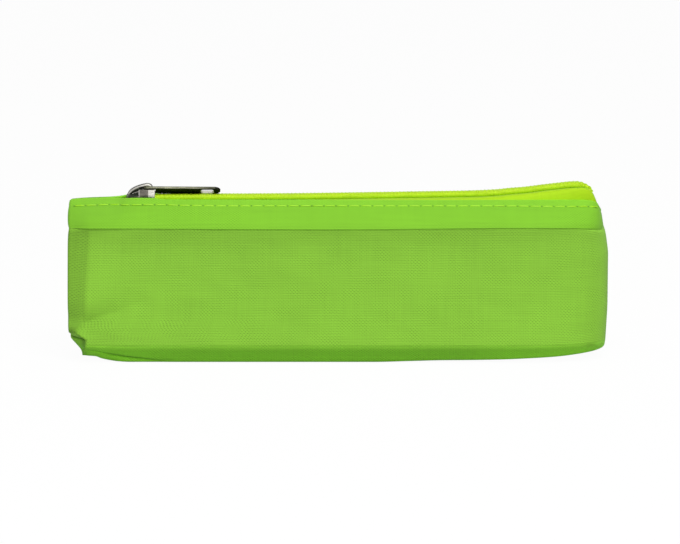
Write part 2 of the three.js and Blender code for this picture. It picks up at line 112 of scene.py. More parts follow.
def heading(line):  # way ahead at each point of a line
    return unit(np.gradient(line, axis=0))


def raised(plan, z):  # points of a plan at one height, or each at its own
    return np.column_stack([plan, np.broadcast_to(z, len(plan))])


def ripples(x, z, seed, reach, height):  # gentle unevenness of cloth, the same each run
    rng = np.random.default_rng(seed)
    total = np.zeros(np.broadcast(x, z).shape)
    for _ in range(7):
        angle, phase = rng.uniform(0, math.pi), rng.uniform(0, 2 * math.pi)
        wave = 2 * math.pi / (reach * rng.uniform(0.6, 1.6))
        total = total + np.sin(wave * (x * math.cos(angle) + z * math.sin(angle)) + phase)
    return height * total / 7 ** 0.5


# meshes

def linked(name, data):  # new object in the scene
    made = bpy.data.objects.new(name, data)
    bpy.context.scene.collection.objects.link(made)
    return made


def evaluated(piece, name):  # plain mesh of a piece with its modifiers
    bpy.context.view_layer.update()
    graph = bpy.context.evaluated_depsgraph_get()
    mesh = bpy.data.meshes.new_from_object(piece.evaluated_get(graph))
    mesh.name = name
    return mesh


def shadeSmooth(mesh):
    mesh.polygons.foreach_set("use_smooth", [True] * len(mesh.polygons))


def makeMesh(name, points, faces, cornerUv, finish):
    mesh = bpy.data.meshes.new(name)
    mesh.from_pydata((np.asarray(points, float) * mm).tolist(), [], faces)
    layer = mesh.uv_layers.new(name="weave")
    layer.data.foreach_set("uv", (np.asarray(cornerUv, float) * mm).ravel())
    shadeSmooth(mesh)
    mesh.materials.append(finish)
    mesh.validate()
    return linked(name, mesh)


def tidyMesh(piece, reach=1e-6):
    form = bmesh.new()
    form.from_mesh(piece.data)
    bmesh.ops.remove_doubles(form, verts=form.verts, dist=reach)
    bmesh.ops.dissolve_degenerate(form, edges=form.edges, dist=reach / 10)
    form.to_mesh(piece.data)
    form.free()
    return piece


def gridNormals(grid, closed):
    across = np.roll(grid, -1, axis=1) - np.roll(grid, 1, axis=1) if closed else np.gradient(grid, axis=1)
    return unit(np.cross(across, np.gradient(grid, axis=0)))


# Cloth of even thickness over a grid of rows and columns; its right-hand side is the outside
def sheetMesh(name, grid, thickness, closed, finish, normals=None):
    rows, cols = grid.shape[:2]
    normal = gridNormals(grid, closed) if normals is None else normals
    points = np.concatenate([grid.reshape(-1, 3), (grid - normal * thickness).reshape(-1, 3)])
    middle = grid[rows // 2]
    spread, height = arcLength(middle), arcLength(grid[:, cols // 4])
    if closed:
        spread = np.append(spread, spread[-1] + np.linalg.norm(middle[0] - middle[-1]))
    faces, uv = [], []
    inside, columns = rows * cols, range(cols if closed else cols - 1)

    def add(spots, layers):
        faces.append([r * cols + c % cols + layer for (r, c), layer in zip(spots, layers)])
        uv.extend((spread[c], height[r]) for r, c in spots)

    def edge(a, b):  # strip that joins the two faces
        add([a, b, b, a], [0, 0, inside, inside])

    for r in range(rows - 1):
        for c in columns:
            square = [(r, c), (r, c + 1), (r + 1, c + 1), (r + 1, c)]
            add(square, [0] * 4)
            add(square[::-1], [inside] * 4)
    for c in columns:
        edge((rows - 1, c), (rows - 1, c + 1))
        edge((0, c + 1), (0, c))
    if not closed:
        for r in range(rows - 1):
            edge((r + 1, 0), (r, 0))
            edge((r, cols - 1), (r + 1, cols - 1))
    return makeMesh(name, points, faces, uv, finish)


def tubMesh(name, front, back, thickness, finish):  # closed round of two halves over a flat floor, the back mirrored
    grid = np.concatenate([front, (back * [1, -1, 1])[:, -2:0:-1]], axis=1)
    normals = gridNormals(grid, True)
    normals[0] = (0, 0, -1)
    return tidyMesh(sheetMesh(name, grid, thickness, True, finish, normals))


# Strip lofted over closed rings: each ring is an outer run and an equal inner run coming back
def stripMesh(name, rings, finish, sharp=55):
    count, size = rings.shape[:2]
    along, middle = arcLength(rings[:, size // 4]), rings[count // 2]
    around = arcLength(np.concatenate([middle, middle[:1]]))
    faces, uv = [], []
    for k in range(count - 1):
        for j in range(size):
            n = (j + 1) % size
            faces.append([k * size + j, k * size + n, (k + 1) * size + n, (k + 1) * size + j])
            uv += [(along[a], around[b]) for a, b in ((k, j), (k, j + 1), (k + 1, j + 1), (k + 1, j))]
    for k, turn in ((0, -1), (count - 1, 1)):
        for j in range(size // 2 - 1):
            far = size - 1 - j
            spots = [j, j + 1, far - 1, far][::turn]
            faces.append([k * size + s for s in spots])
            uv += [(along[k], around[s]) for s in spots]
    piece = makeMesh(name, rings.reshape(-1, 3), faces, uv, finish)
    form = bmesh.new()
    form.from_mesh(piece.data)
    if form.calc_volume(signed=True) < 0:
        bmesh.ops.reverse_faces(form, faces=form.faces)
    form.to_mesh(piece.data)
    form.free()
    piece.data.set_sharp_from_angle(angle=math.radians(sharp))
    return piece


def thickRing(path, thickness):  # ring about an open path
    step = heading(path)
    side = np.stack([-step[:, 1], step[:, 0]], axis=1) * thickness / 2
    return np.concatenate([path + side, (path - side)[::-1]])


# materials

def srgb(red, green, blue):
    def line(v):
        v /= 255
        return v / 12.92 if v <= 0.04045 else ((v + 0.055) / 1.055) ** 2.4
    return (line(red), line(green), line(blue), 1)


def given(made, values):  # links or sets the inputs of a node, by name or number
    for key, value in values.items():
        if isinstance(value, bpy.types.NodeSocket):
            made.id_data.links.new(value, made.inputs[key])
        else:
            made.inputs[key].default_value = value
    return made


def node(tree, kind, values=None, **settings):
    made = tree.nodes.new(kind)
    for key, value in settings.items():
        setattr(made, key, value)
    return given(made, values or {})


def newFinish(name):
    finish = bpy.data.materials.new(name)
    finish.use_nodes = True
    tree = finish.node_tree
    return finish, tree, tree.nodes["Principled BSDF"]


def spotOf(tree):  # place on the piece
    return node(tree, "ShaderNodeTexCoord").outputs["Object"]


def axisOf(tree, source, axis):
    return node(tree, "ShaderNodeSeparateXYZ", {0: source}).outputs[axis]


def sums(tree, operation, a, b=0.0):
    return node(tree, "ShaderNodeMath", {0: a, 1: b}, operation=operation).outputs[0]


def scaled(tree, colour, share):  # darker or lighter by a share
    return node(tree, "ShaderNodeVectorMath", {0: colour, "Scale": share}, operation="SCALE").outputs["Vector"]


def span(tree, value, low, high, least=0, most=1):  # carries one range of values over to another
    values = {"Value": value, "From Min": low, "From Max": high, "To Min": least, "To Max": most}
    return node(tree, "ShaderNodeMapRange", values).outputs["Result"]


def stretched(tree, source, scale):  # coordinates scaled by a mapping node
    return node(tree, "ShaderNodeMapping", {"Vector": source, "Scale": scale}).outputs["Vector"]


def noiseAt(tree, source, scale, detail=2.0, rough=0.5):
    values = {"Vector": source, "Scale": scale, "Detail": detail, "Roughness": rough}
    return node(tree, "ShaderNodeTexNoise", values).outputs["Fac"]


def ramp(tree, value, low, dark, high, light):  # dark up to the low place, light from the high one
    made = node(tree, "ShaderNodeValToRGB", {"Fac": value})
    for end, place, colour in zip(made.color_ramp.elements, (low, high), (dark, light)):
        end.position, end.color = place, colour
    return made.outputs["Color"]


def bump(tree, shader, height, strength, distance):
    values = {"Strength": strength, "Distance": distance, "Height": height}
    given(shader, {"Normal": node(tree, "ShaderNodeBump", values).outputs["Normal"]})


# scale of each noise on the cloth and how much of it counts; the weave shows more in some patches than others
weaving = {"wander": (60, 2.2), "overs": (170, 0.0, 1.05), "ribs": (130, 0.1, 0.85), "patch": (0.32, 0.68),
           "columns": 0.15, "slubs": (40, 1600), "slub": 0.14, "cloud": (45, 0.16), "level": 0.78}


# Plain weave on the piece's own UV map: overs and unders, gaps between threads, slubs and slow mottling
def wovenCloth(name, colour, threads, contrast, depth, roughness, sheen, paintedLightAndShade=False, shadeTint=None):
    finish, tree, shader = newFinish(name)
    place = node(tree, "ShaderNodeUVMap", uv_map="weave").outputs["UV"]

    def times(a, b):
        return sums(tree, "MULTIPLY", a, b)

    def plus(a, b):
        return sums(tree, "ADD", a, b)

    def patches(scale, least, most):
        return span(tree, noiseAt(tree, place, scale, 1), *weaving["patch"], least, most)

    axes = node(tree, "ShaderNodeSeparateXYZ", {0: place}).outputs
    wander = times(noiseAt(tree, place, weaving["wander"][0]), weaving["wander"][1])
    warp, weft = (plus(times(axes[k], math.pi / threads[k]), wander) for k in (0, 1))
    overs = times(sums(tree, "SINE", warp), sums(tree, "SINE", weft))
    columns, rows = (sums(tree, "COSINE", times(phase, 2.0)) for phase in (warp, weft))
    ribs = plus(times(rows, patches(*weaving["ribs"])), times(columns, weaving["columns"]))
    weave = plus(times(overs, patches(*weaving["overs"])), ribs)
    wide, fine = weaving["slubs"]
    streaks = plus(*(noiseAt(tree, stretched(tree, place, way), 1) for way in ((wide, fine, 1), (fine, wide, 1))))
    cloud = noiseAt(tree, place, weaving["cloud"][0], 3)
    uneven = plus(times(streaks, weaving["slub"]), times(cloud, weaving["cloud"][1]))
    level = plus(plus(times(weave, contrast), uneven), weaving["level"])
    if paintedLightAndShade:  # painted shade darkens the colour, painted light lightens it where the share is negative
        painted_light_and_shade = node(tree, "ShaderNodeAttribute", attribute_name="painted_light_and_shade").outputs["Fac"]
        level = times(level, sums(tree, "SUBTRACT", 1.0, painted_light_and_shade))
    shade = colour[:3]
    if shadeTint:  # painted shade tint: deeper, greener colour low down on the base fold, which lies in shade
        outOfShadeTint = span(tree, axisOf(tree, spotOf(tree), "Z"), shadeTint["from"], shadeTint["to"])
        tint = node(tree, "ShaderNodeMix", {"Factor": outOfShadeTint}, data_type="RGBA")
        for socket in tint.inputs:
            if socket.type == "RGBA":
                socket.default_value = shadeTint["colour"] if socket.name == "A" else colour
        shade = [socket for socket in tint.outputs if socket.type == "RGBA"][0]
    given(shader, {"Base Color": scaled(tree, shade, level), "Roughness": roughness, "Sheen Weight": sheen,
                   "Sheen Roughness": 0.5, "Specular IOR Level": 0.18})
    bump(tree, shader, plus(times(weave, 0.5), streaks), 0.5, depth)
    return finish


threads = (0.67 * mm, 0.646 * mm)
# painted shade tint for the base fold
shadedBaseTint = {"colour": srgb(140, 219, 52), "from": 4.6 * mm, "to": 8.2 * mm}
panelCloth = wovenCloth("panel cloth", srgb(139, 198, 60), threads, 0.21, 0.09 * mm, 0.8, 0.07, True, shadedBaseTint)
bandCloth = wovenCloth("hem band cloth", srgb(126, 192, 43), threads, 0.24, 0.07 * mm, 0.75, 0.07, True)
bindingCloth = wovenCloth("binding cloth", srgb(127, 182, 60), (0.5 * mm, 0.5 * mm), 0.1, 0.1 * mm, 0.85, 0.1)
tapeCloth = wovenCloth("zip tape weave", srgb(168, 212, 18), (0.36 * mm, 0.32 * mm), 0.06, 0.05 * mm, 0.7, 0.1)


# Finish that goes from dark to light with a grain over the piece, and stands out by it or by a height of its own
def grained(name, grain, dark, light, looks, relief=None, ends=(0.3, 0.7), height=None):
    finish, tree, shader = newFinish(name)
    place = spotOf(tree)
    value = grain(tree, place)
    given(shader, {"Base Color": ramp(tree, value, ends[0], dark, ends[1], light), **looks})
    if relief:
        bump(tree, shader, height(tree, place) if height else value, *relief)
    return finish


def noiseGrain(scale, detail=2.0, rough=0.5):
    return lambda tree, place: noiseAt(tree, place, scale, detail, rough)


def threadTwist(tree, place):
    return node(tree, "ShaderNodeTexWave", {"Vector": place, "Scale": 900}, bands_direction="DIAGONAL").outputs["Fac"]


def nylonStreak(tree, place):
    return noiseAt(tree, stretched(tree, place, (200, 900, 900)), 1)


def foilFolds(tree, place):
    crinkle = node(tree, "ShaderNodeTexVoronoi", {"Vector": place, "Scale": 90}, feature="DISTANCE_TO_EDGE")
    soft = noiseAt(tree, place, 160, 4, 0.6)
    return sums(tree, "ADD", soft, sums(tree, "MULTIPLY", crinkle.outputs["Distance"], 0.8))


def foamCells(tree, place):
    return node(tree, "ShaderNodeTexVoronoi", {"Vector": place, "Scale": 1200}).outputs["Distance"]


def nickel(name, dark, light, graze=(1, 1, 1), shadedEnd=None):
    finish, tree, shader = newFinish(name)
    place = spotOf(tree)
    rub = noiseAt(tree, stretched(tree, place, (300, 2200, 2200)), 1, 3)
    shade = ramp(tree, rub, 0.3, dark, 0.7, light)
    if shadedEnd:  # painted shade: darker towards one end
        shade = scaled(tree, shade, span(tree, axisOf(tree, place, "X"), shadedEnd["from"], shadedEnd["to"], 1, shadedEnd["share"]))
    given(shader, {"Base Color": shade, "Metallic": 1, "Specular Tint": graze + (1,),
                   "Roughness": span(tree, rub, 0, 1, 0.16, 0.36)})
    bump(tree, shader, noiseAt(tree, place, 700, 4, 0.6), 0.12, 0.08 * mm)
    return finish


def paintedGrain(name, dark, light):  # plain non-metal finish for painted shade and painted highlight
    looks = {"Roughness": 0.7, "Specular IOR Level": 0.2}
    return grained(name, noiseGrain(900, 3), dark, light, looks, (0.2, 0.05 * mm))


threadFinish = grained("topstitch thread", threadTwist, srgb(138, 206, 4), srgb(174, 230, 18), {"Roughness": 0.5},
                       (0.4, 0.05 * mm), (0, 1))
# dark domes of painted shade at the needle holes
holeShadeFinish = grained("needle hole painted shade", noiseGrain(900), srgb(66, 118, 24), srgb(92, 148, 34), {"Roughness": 0.9})
coilFinish = grained("coil nylon", nylonStreak, srgb(170, 208, 24), srgb(186, 224, 32),
                     {"Roughness": 0.6, "Specular IOR Level": 0.2, "Subsurface Weight": 0.15,
                      "Subsurface Radius": (0.6 * mm, 0.8 * mm, 0.2 * mm)}, (0.15, 0.03 * mm), (0.25, 0.75))
# lit and shaded copies of one nickel: the pull's dark face is its own black nickel with a painted green reflection of
# the cloth; the other copies carry painted shade, painted highlight or painted reflection
pullFinish = nickel("black nickel with painted green reflection", srgb(20, 26, 15), srgb(44, 52, 34), (0.6, 0.66, 0.55))
shadedNickelFinish = nickel("nickel with painted shade", srgb(36, 38, 30), srgb(78, 78, 68))
castFinish = nickel("cast nickel", srgb(84, 80, 76), srgb(132, 126, 118))
highlitNickelFinish = nickel("nickel with painted highlight", srgb(142, 139, 132), srgb(198, 195, 186))
highlitStrapFinish = nickel("nickel strap with painted highlight", srgb(118, 116, 110), srgb(190, 187, 180))
rimFinish = nickel("pull rim with painted reflection and shade", srgb(62, 64, 50), srgb(112, 112, 94), (0.4, 0.4, 0.34),
                   {"from": -67 * mm, "to": -50 * mm, "share": 0.18})
paintedShadeFinish = paintedGrain("painted shade in the slider's hollows", srgb(14, 20, 10), srgb(32, 38, 26))
paintedHighlightFinish = paintedGrain("painted highlight on ridges and in the slot", srgb(184, 181, 172), srgb(214, 211, 203))
foilFinish = grained("foil film", noiseGrain(160, 4, 0.6), srgb(196, 200, 206), srgb(226, 229, 233),
                     {"Metallic": 0.85, "Roughness": 0.34}, (0.5, 0.6 * mm), height=foilFolds)
gelFinish = grained("gel film", noiseGrain(60, 3), srgb(176, 212, 232), srgb(214, 234, 244),
                    {"Roughness": 0.18, "Subsurface Weight": 0.3, "Coat Weight": 0.4,
                     "Subsurface Radius": (2 * mm, 3 * mm, 4 * mm)}, (0.15, 0.3 * mm), height=noiseGrain(320, 3))
foamFinish = grained("foam sheet", foamCells, srgb(222, 223, 218), srgb(246, 246, 242), {"Roughness": 0.9},
                     (0.4, 0.2 * mm), (0.1, 0.6))
print("finishes made")


# outer cloth: one shell from the base up to the hem band, folded and tucked as sewn
shell = {
    "depth": 20.0, "top": 54.0, "foldTop": 7.1, "cloth": 0.6, "split": -10.0, "rightStart": 66.0,
    "endSteps": 28, "leftSteps": 74, "midSteps": 34, "rightSteps": 34, "floorSteps": 6, "foldSteps": 40,
    "floorInset": 7.2, "endInset": 6.4, "softRun": 11, "fallRun": 16, "rightHandles": (0.74, 0.66),
    # flat end: least depth of its corner, length of the round on each side, points on it
    "blunt": {"least": 3.0, "seam": 1.4, "run": 0.12, "steps": 9},
    "ledge": 1.3, "ledgeRun": 0.8, "ledgeEdge": 0.14, "uprightShare": 0.32, "tuckDepth": 1.2, "tuckWidth": 0.32,
    # height, reach of each end from the middle
    "leftReach": [(0, 99.2), (2, 100.7), (4, 102), (6, 103.3), (7.9, 104.1), (9.9, 104), (11.5, 103.8), (13.8, 103.9),
                  (16, 104), (17.7, 104), (22, 104.1), (37.5, 104), (45, 103.9), (49.3, 103.7), (52.6, 103.2)],
    "rightReach": [(0, 103.4), (1.5, 103.9), (4, 104.1), (6, 104.2), (9.9, 104.4), (13.8, 104.6), (22, 104.9),
                   (40, 104.9), (45.4, 104.3), (49, 103.7), (52.6, 102.5)],
    # height, place of the upright fold at the left; it runs out to the pulled corner low down
    "foldReach": [(0, 98.8), (3, 98.6), (6.5, 97.3), (8.9, 97), (9.7, 97.5), (10.6, 98.6), (11.7, 100), (13.2, 100.8),
                  (14.2, 100.3), (15.6, 98.6), (17.1, 97.4), (20.3, 97), (29, 96.6), (36, 96.2), (44, 95.6),
                  (52.6, 95)],
    "foldDepth": [(0, 17), (6.5, 19.2), (9.6, 19.3), (13, 19), (16, 19.4), (20, 19.8), (25, 20), (52.6, 20)],
    "foldTurn": [(0, 85), (3, 98), (9, 98), (9.8, 60), (13, 38), (18, 34), (27, 30.5), (36, 29), (52.6, 28)],
    # how far the front falls back in a soft round before that fold
    "foldRound": [(0, 0), (20, 0), (30, 0.6), (42, 1.2), (52.6, 1.4)],
    # inset of the base fold by height
    "baseFold": [(0, 5.2), (0.12, 4.8), (0.5, 4.4), (1.05, 3.95), (2.5, 2.9), (4, 1.75), (5.4, 0.7), (6, 0.35),
                 (6.5, 0.12), (7.1, 0)],
    # how far the front stands out by height: it is held out at its folds and sinks between
    "swell": [(7, 0.2), (9, 0.15), (13, -0.1), (20, -0.45), (30, -0.6), (40, -0.52), (46, -0.28), (50, 0.1),
              (52, 0.26), (52.8, 0.3), (53.1, 0.18), (53.4, -0.4), (54, -1.4), (55, -2.6), (57.5, -4)],
    # height at which the hem band is sewn on, and how much lower that is at the end seams
    "foot": [(-104, 52.9), (-92, 53.35), (-72, 53.25), (-38, 53.05), (0, 52.95), (40, 53.3), (63, 53.5), (86, 53.5),
             (104, 53.35)],
    "footDrop": 3.0,
    # line of the dent that runs in from the pulled corner, its depth, and its width above and below
    "dent": [(-98, 15.8), (-77, 23.7)], "dentDepth": (1.15, -0.65), "dentAbove": (2.8, 2.7), "dentBelow": (3.2, 3.5),
    "waves": [(46, 0.11), (17, 0.035)],  # reach and height of the slow and the small unevenness
    "tuck": (7.8, 1.4),  # height of the crease over the corner pocket at the seam, and its rise to the fold
    # how far the base is off the floor
    "lift": [(-104, 2.5), (-98.5, 2.1), (-96, 1.9), (-93.8, 1.85), (-91.5, 1.15), (-89.2, 0.75), (-85, 0.25), (-80, 0),
             (14, 0), (28, 0.35), (40, 0.7), (51, 0.85), (63, 1.15), (74, 1.65), (85, 2.25), (97, 3.35), (104, 3.9)],
}


def baseLift(x):  # the base rises off the floor towards both ends
    return glide(x, shell["lift"])


def lowLift(x, z):  # the same, dying out up to the top of the base fold
    return baseLift(x) * np.clip(1 - z / shell["foldTop"], 0, 1)


def bluntEnd(left, foldX, foldY, turn):  # flat end: along the seam, round a small corner and straight to the fold
    fold, blunt = np.array([foldX, foldY]), shell["blunt"]
    corner = np.array([-left, min(-blunt["least"], foldY + (left + foldX) * math.tan(min(turn, 1.0)))])
    near, far = corner + [0, blunt["seam"]], corner + (fold - corner) * blunt["run"]
    t = np.linspace(0, 1, blunt["steps"] + 1)[:, None]
    bend = near * (1 - t) ** 2 + 2 * corner * t * (1 - t) + far * t * t
    steps = shell["endSteps"] - blunt["steps"]
    seam = np.linspace((-left, 0), near, steps // 2 + 1)[:-1]
    run = np.linspace(far, fold, steps - steps // 2 + 1)[1:]
    return np.concatenate([seam, bend, run])


# Front half of the outline at one height, from the left seam round to the right seam
def halfPlan(z, inset=0.0):
    endInset = max(0.0, inset - shell["endInset"])
    left, right = (glide(z, shell[reach]) - endInset for reach in ("leftReach", "rightReach"))
    depth, start = max(0.0, shell["depth"] - inset), shell["rightStart"]
    foldX = -glide(z, shell["foldReach"]) + 0.9 * endInset
    foldY = -max(0.0, glide(z, shell["foldDepth"]) - inset)
    turn = math.radians(glide(z, shell["foldTurn"]))
    pocket = float(fade(z, 8.5, 9.5))
    handle = (8 + pocket) * min(1.0, depth / 14)
    leave = (foldX - handle * math.cos(turn), foldY + handle * math.sin(turn))
    end = bezier((-left, 0), (-left - pocket, (0.62 - 0.3 * pocket) * foldY), leave, (foldX, foldY), shell["endSteps"])
    softest = float(glide(z, shell["foldRound"]))
    blunt = float(smooth(z, 9.8, 12.5))
    end = end * (1 - blunt) + bluntEnd(left, foldX, foldY + softest, turn) * blunt
    flat = np.concatenate([np.linspace(foldX, shell["split"], shell["leftSteps"] + 1),
                           np.linspace(shell["split"], start, shell["midSteps"] + 1)[1:]])
    soft = softest * np.clip(1 - (flat - foldX) / shell["softRun"], 0, 1) ** 2
    fall = (depth + foldY) * fade(flat, foldX, foldX + shell["fallRun"])
    front = np.stack([flat, -depth + fall + soft], axis=1)
    ahead, aside = shell["rightHandles"]
    corner = bezier((start, -depth), (start + ahead * (right - start), -depth), (right, -aside * depth), (right, 0),
                    shell["rightSteps"])
    return np.concatenate([end, front[1:], corner[1:]])


def nearLine(x, z, a, b):  # distance from a line piece, and how far along it
    a, b = np.array(a, float), np.array(b, float)
    d = b - a
    t = np.clip(((x - a[0]) * d[0] + (z - a[1]) * d[1]) / (d @ d), 0, 1)
    return np.hypot(x - a[0] - t * d[0], z - a[1] - t * d[1]), t


def footHeight(x, y):  # where the hem band is sewn on
    drop = shell["footDrop"] * (1 + 0.45 * smooth(x, 80, 100))
    return glide(x, shell["foot"]) - drop * np.clip(1 - np.abs(y) / shell["depth"], 0, 1)


# How far the cloth of a long wall stands out of its plain outline
def wallRelief(plan, z, seed):
    x = plan[:, 0]
    flat = within(x, -97, -84, 74, 98)
    out = glide(z + (53.1 - footHeight(x, plan[:, 1])) * smooth(z, 44, 50), shell["swell"])
    out = np.where(out > 0, out * (0.35 + 0.65 * smooth(x, -104, -94)), out * np.where(z > 52, 1, flat))
    (startX, startZ), (endX, endZ) = shell["dent"]
    away, along = nearLine(x, z, *shell["dent"])
    above = (z - startZ) * (endX - startX) > (x - startX) * (endZ - startZ)
    depth, upper, lower = (shell[key][0] + shell[key][1] * along for key in ("dentDepth", "dentAbove", "dentBelow"))
    out = out - depth * np.exp(-(away / np.where(above, upper, lower)) ** 1.3) * smooth(x, -99.5, -96.5)
    slow, small = shell["waves"]
    out = out + ripples(x, z, seed, *slow) * within(z, 8, 16, 44, 50)
    return out + ripples(x, 2.2 * z, seed + 1, *small) * flat


def wallPlan(z, seed):  # outline of a long wall with its relief
    plan = halfPlan(z)
    plan[:, 1] -= wallRelief(plan, np.full(len(plan), z), seed) * smooth(-plan[:, 1], 3, 14)
    return plan


def tuckCorner(plan, z):  # crease that closes the corner pocket under the left end
    across = np.linspace(0, 1, shell["endSteps"] + 1)
    low, rise = shell["tuck"]
    depth = shell["tuckDepth"] * hump(z - low - rise * across, shell["tuckWidth"]) * within(across, 0.1, 0.4, 0.92, 1)
    plan[:len(depth)] += depth[:, None] * [0.75, 0.65]


def baseCrease(x):  # height at which the base's own fold meets the front
    return 1.0 + np.clip(-70 - x, 0, 40) * 0.13


# painted shade and painted light on the outer cloth: how much darker it is painted along the base and pocket creases,
# on the turned end, at the pucker and at the top of the panel, and how much lighter low down, in the pocket, over the
# bulge, under the band's foot, right of the fold and at the ends
shades = {"base": 0.42, "tuck": 0.5, "pocket": (0.55, 0.5), "end": 0.17, "turned": 0.035, "pucker": 0.2,
          "lowLeft": (0.12, 0.24), "lowRight": 0.08, "bulge": 0.06, "upper": 0.05, "foot": 0.3, "fold": 0.045,
          "overPocket": 0.42, "rightEnd": (0.13, 0.15), "most": 0.6}


# painted shade and painted light, as a share taken off the cloth's colour or added to it
def paintedCreaseShadeAndLight(x, y, z):
    deep, low = np.abs(y), fade(z, 6.5, 7.6)
    front = smooth(deep, 8, 13)
    # painted shade along the base crease and along the crease over the pocket
    base = shades["base"] * hump(z - lowLift(x, z) - baseCrease(x), 0.3) * within(x, -97, -93, -80, -62) * front
    under = z - shell["tuck"][0] - shell["tuck"][1] * np.clip(deep / 19, 0, 1)  # height over the crease of the pocket
    tuck = shades["tuck"] * hump(under, 0.3) * fade(x, -98.2, -97) * smooth(deep, 2, 6)
    gain, start = shades["pocket"]
    # painted light in the corner pocket, a little painted shade beside the fold
    pocket = (gain * smooth(x, -100.2, -98) - start) * fade(x, -97.6, -97) * fade(under, -0.5, 0)
    fold = -97 - 1.1 * np.clip(16.7 - z, 0, 4)  # painted shade on the end down to the pulled corner
    shade = shades["end"] * fade(x, fold - 0.9, fold + 0.4) * within(z, 10.6, 12, 16.2, 17.4)
    # painted light low down, over the bulge and under the band's foot; painted shade at the top of the panel
    wide, near = shades["lowLeft"]
    paintedLight = low * (wide * within(x, -98, -95, -90, -55) + shades["lowRight"] * smooth(x, 40, 80)
                  + near * within(x, -98, -96.5, -93, -85))
    paintedLight = paintedLight + shades["bulge"] * hump(x + 73, 16) * hump(z - 31, 9)
    paintedLight = paintedLight - shades["upper"] * (smooth(z, 41, 50) + smooth(z, 48.5, 52))
    paintedLight = paintedLight + shades["foot"] * hump(z - footHeight(x, y) + 0.75, 0.4)
    edge = -glide(z, shell["foldReach"])  # the end turns away at the upright fold: painted shade left of it, painted light right of it
    upright = within(z, 16, 19, 50.5, 52) * front
    shade = shade + upright * shades["turned"] * fade(x, edge - 0.5, edge + 0.5)
    paintedLight = paintedLight + upright * shades["fold"] * within(x, edge - 0.5, edge + 0.5, edge + 5, edge + 16)
    # painted shade at the pucker of the right corner
    pucker = shades["pucker"] * hump(nearLine(x, z, (96.5, 6.6), (101.5, 5.2))[0], 0.9)
    # painted light over the pocket and at the right end
    paintedEndLight = shades["overPocket"] * fade(x, -100.6, -99.2) * within(under, 0.25, 0.7, 2, 3.4)
    paintedEndLight = paintedEndLight + shades["rightEnd"][0] * smooth(x, 98, 103) + shades["rightEnd"][1] * smooth(x, 98, 101) * low
    return np.clip(base + tuck + pocket + shade + pucker - paintedLight - paintedEndLight, -shades["most"], shades["most"])


# stores the painted shade and painted light on the points
def paintLightAndShadeAttribute(piece, values):
    layer = piece.data.attributes.new("painted_light_and_shade", "FLOAT", "POINT")
    layer.data.foreach_set("value", np.asarray(values, np.float32).ravel())


def shellHalf(seed):
    levels = np.concatenate([np.arange(7.4, 12.8, 0.3), np.arange(13, 27, 0.65), np.arange(27.5, 45, 1.5),
                             np.linspace(45.8, 51, 8), np.linspace(51.3, shell["top"], 13)])
    rows = []
    for inset in np.linspace(shell["depth"], shell["floorInset"], shell["floorSteps"]):
        plan = halfPlan(0, inset)
        rows.append(raised(plan, baseLift(plan[:, 0])))
    for z in np.linspace(0, shell["foldTop"], shell["foldSteps"]):
        fold = glide(z, shell["baseFold"])
        plan = halfPlan(z, fold)
        x = plan[:, 0]
        below = baseCrease(x) - z  # how far under the edge of the base's own fold
        ledge = np.where(below > 0, np.exp(-below / shell["ledgeRun"]), hump(below, shell["ledgeEdge"]))
        ledge = shell["ledge"] * ledge * within(x, -97.5, -94, -78, -60)
        upright = shell["uprightShare"] * fold * smooth(x, 25, 90)  # the base fold stands up to the right
        plan[:, 1] += (ledge - upright) * smooth(-plan[:, 1], 5, 12)
        rows.append(raised(plan, z + lowLift(x, z)))
    for z in levels:
        plan = wallPlan(z, seed)
        tuckCorner(plan, z)
        rows.append(raised(plan, z))
    return np.array(rows)


seeds = {"front": 11, "back": 23}
outerCloth = tubMesh("outer_cloth", shellHalf(seeds["front"]), shellHalf(seeds["back"]), shell["cloth"], panelCloth)
# painted shade and painted light go onto the outer cloth's points
spots = np.empty(3 * len(outerCloth.data.vertices), dtype=np.float32)
outerCloth.data.vertices.foreach_get("co", spots)
paintLightAndShadeAttribute(outerCloth, paintedCreaseShadeAndLight(*(spots.astype(float).reshape(-1, 3).T / mm)))
print("outer cloth:", len(outerCloth.data.polygons), "faces")


# hem bands, tapes and coil rows, in a left and a right half that meet at the split
lips = {
    "left": {"start": (-0.0935, 0, 0), "end": (-0.010, 0, 0)},
    "right": {"start": (0.050, 0, 0), "end": (-0.010, 0, 0)},
}
sides = {"front": -1, "back": 1}


def bendWithLip(piece):
    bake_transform(piece)


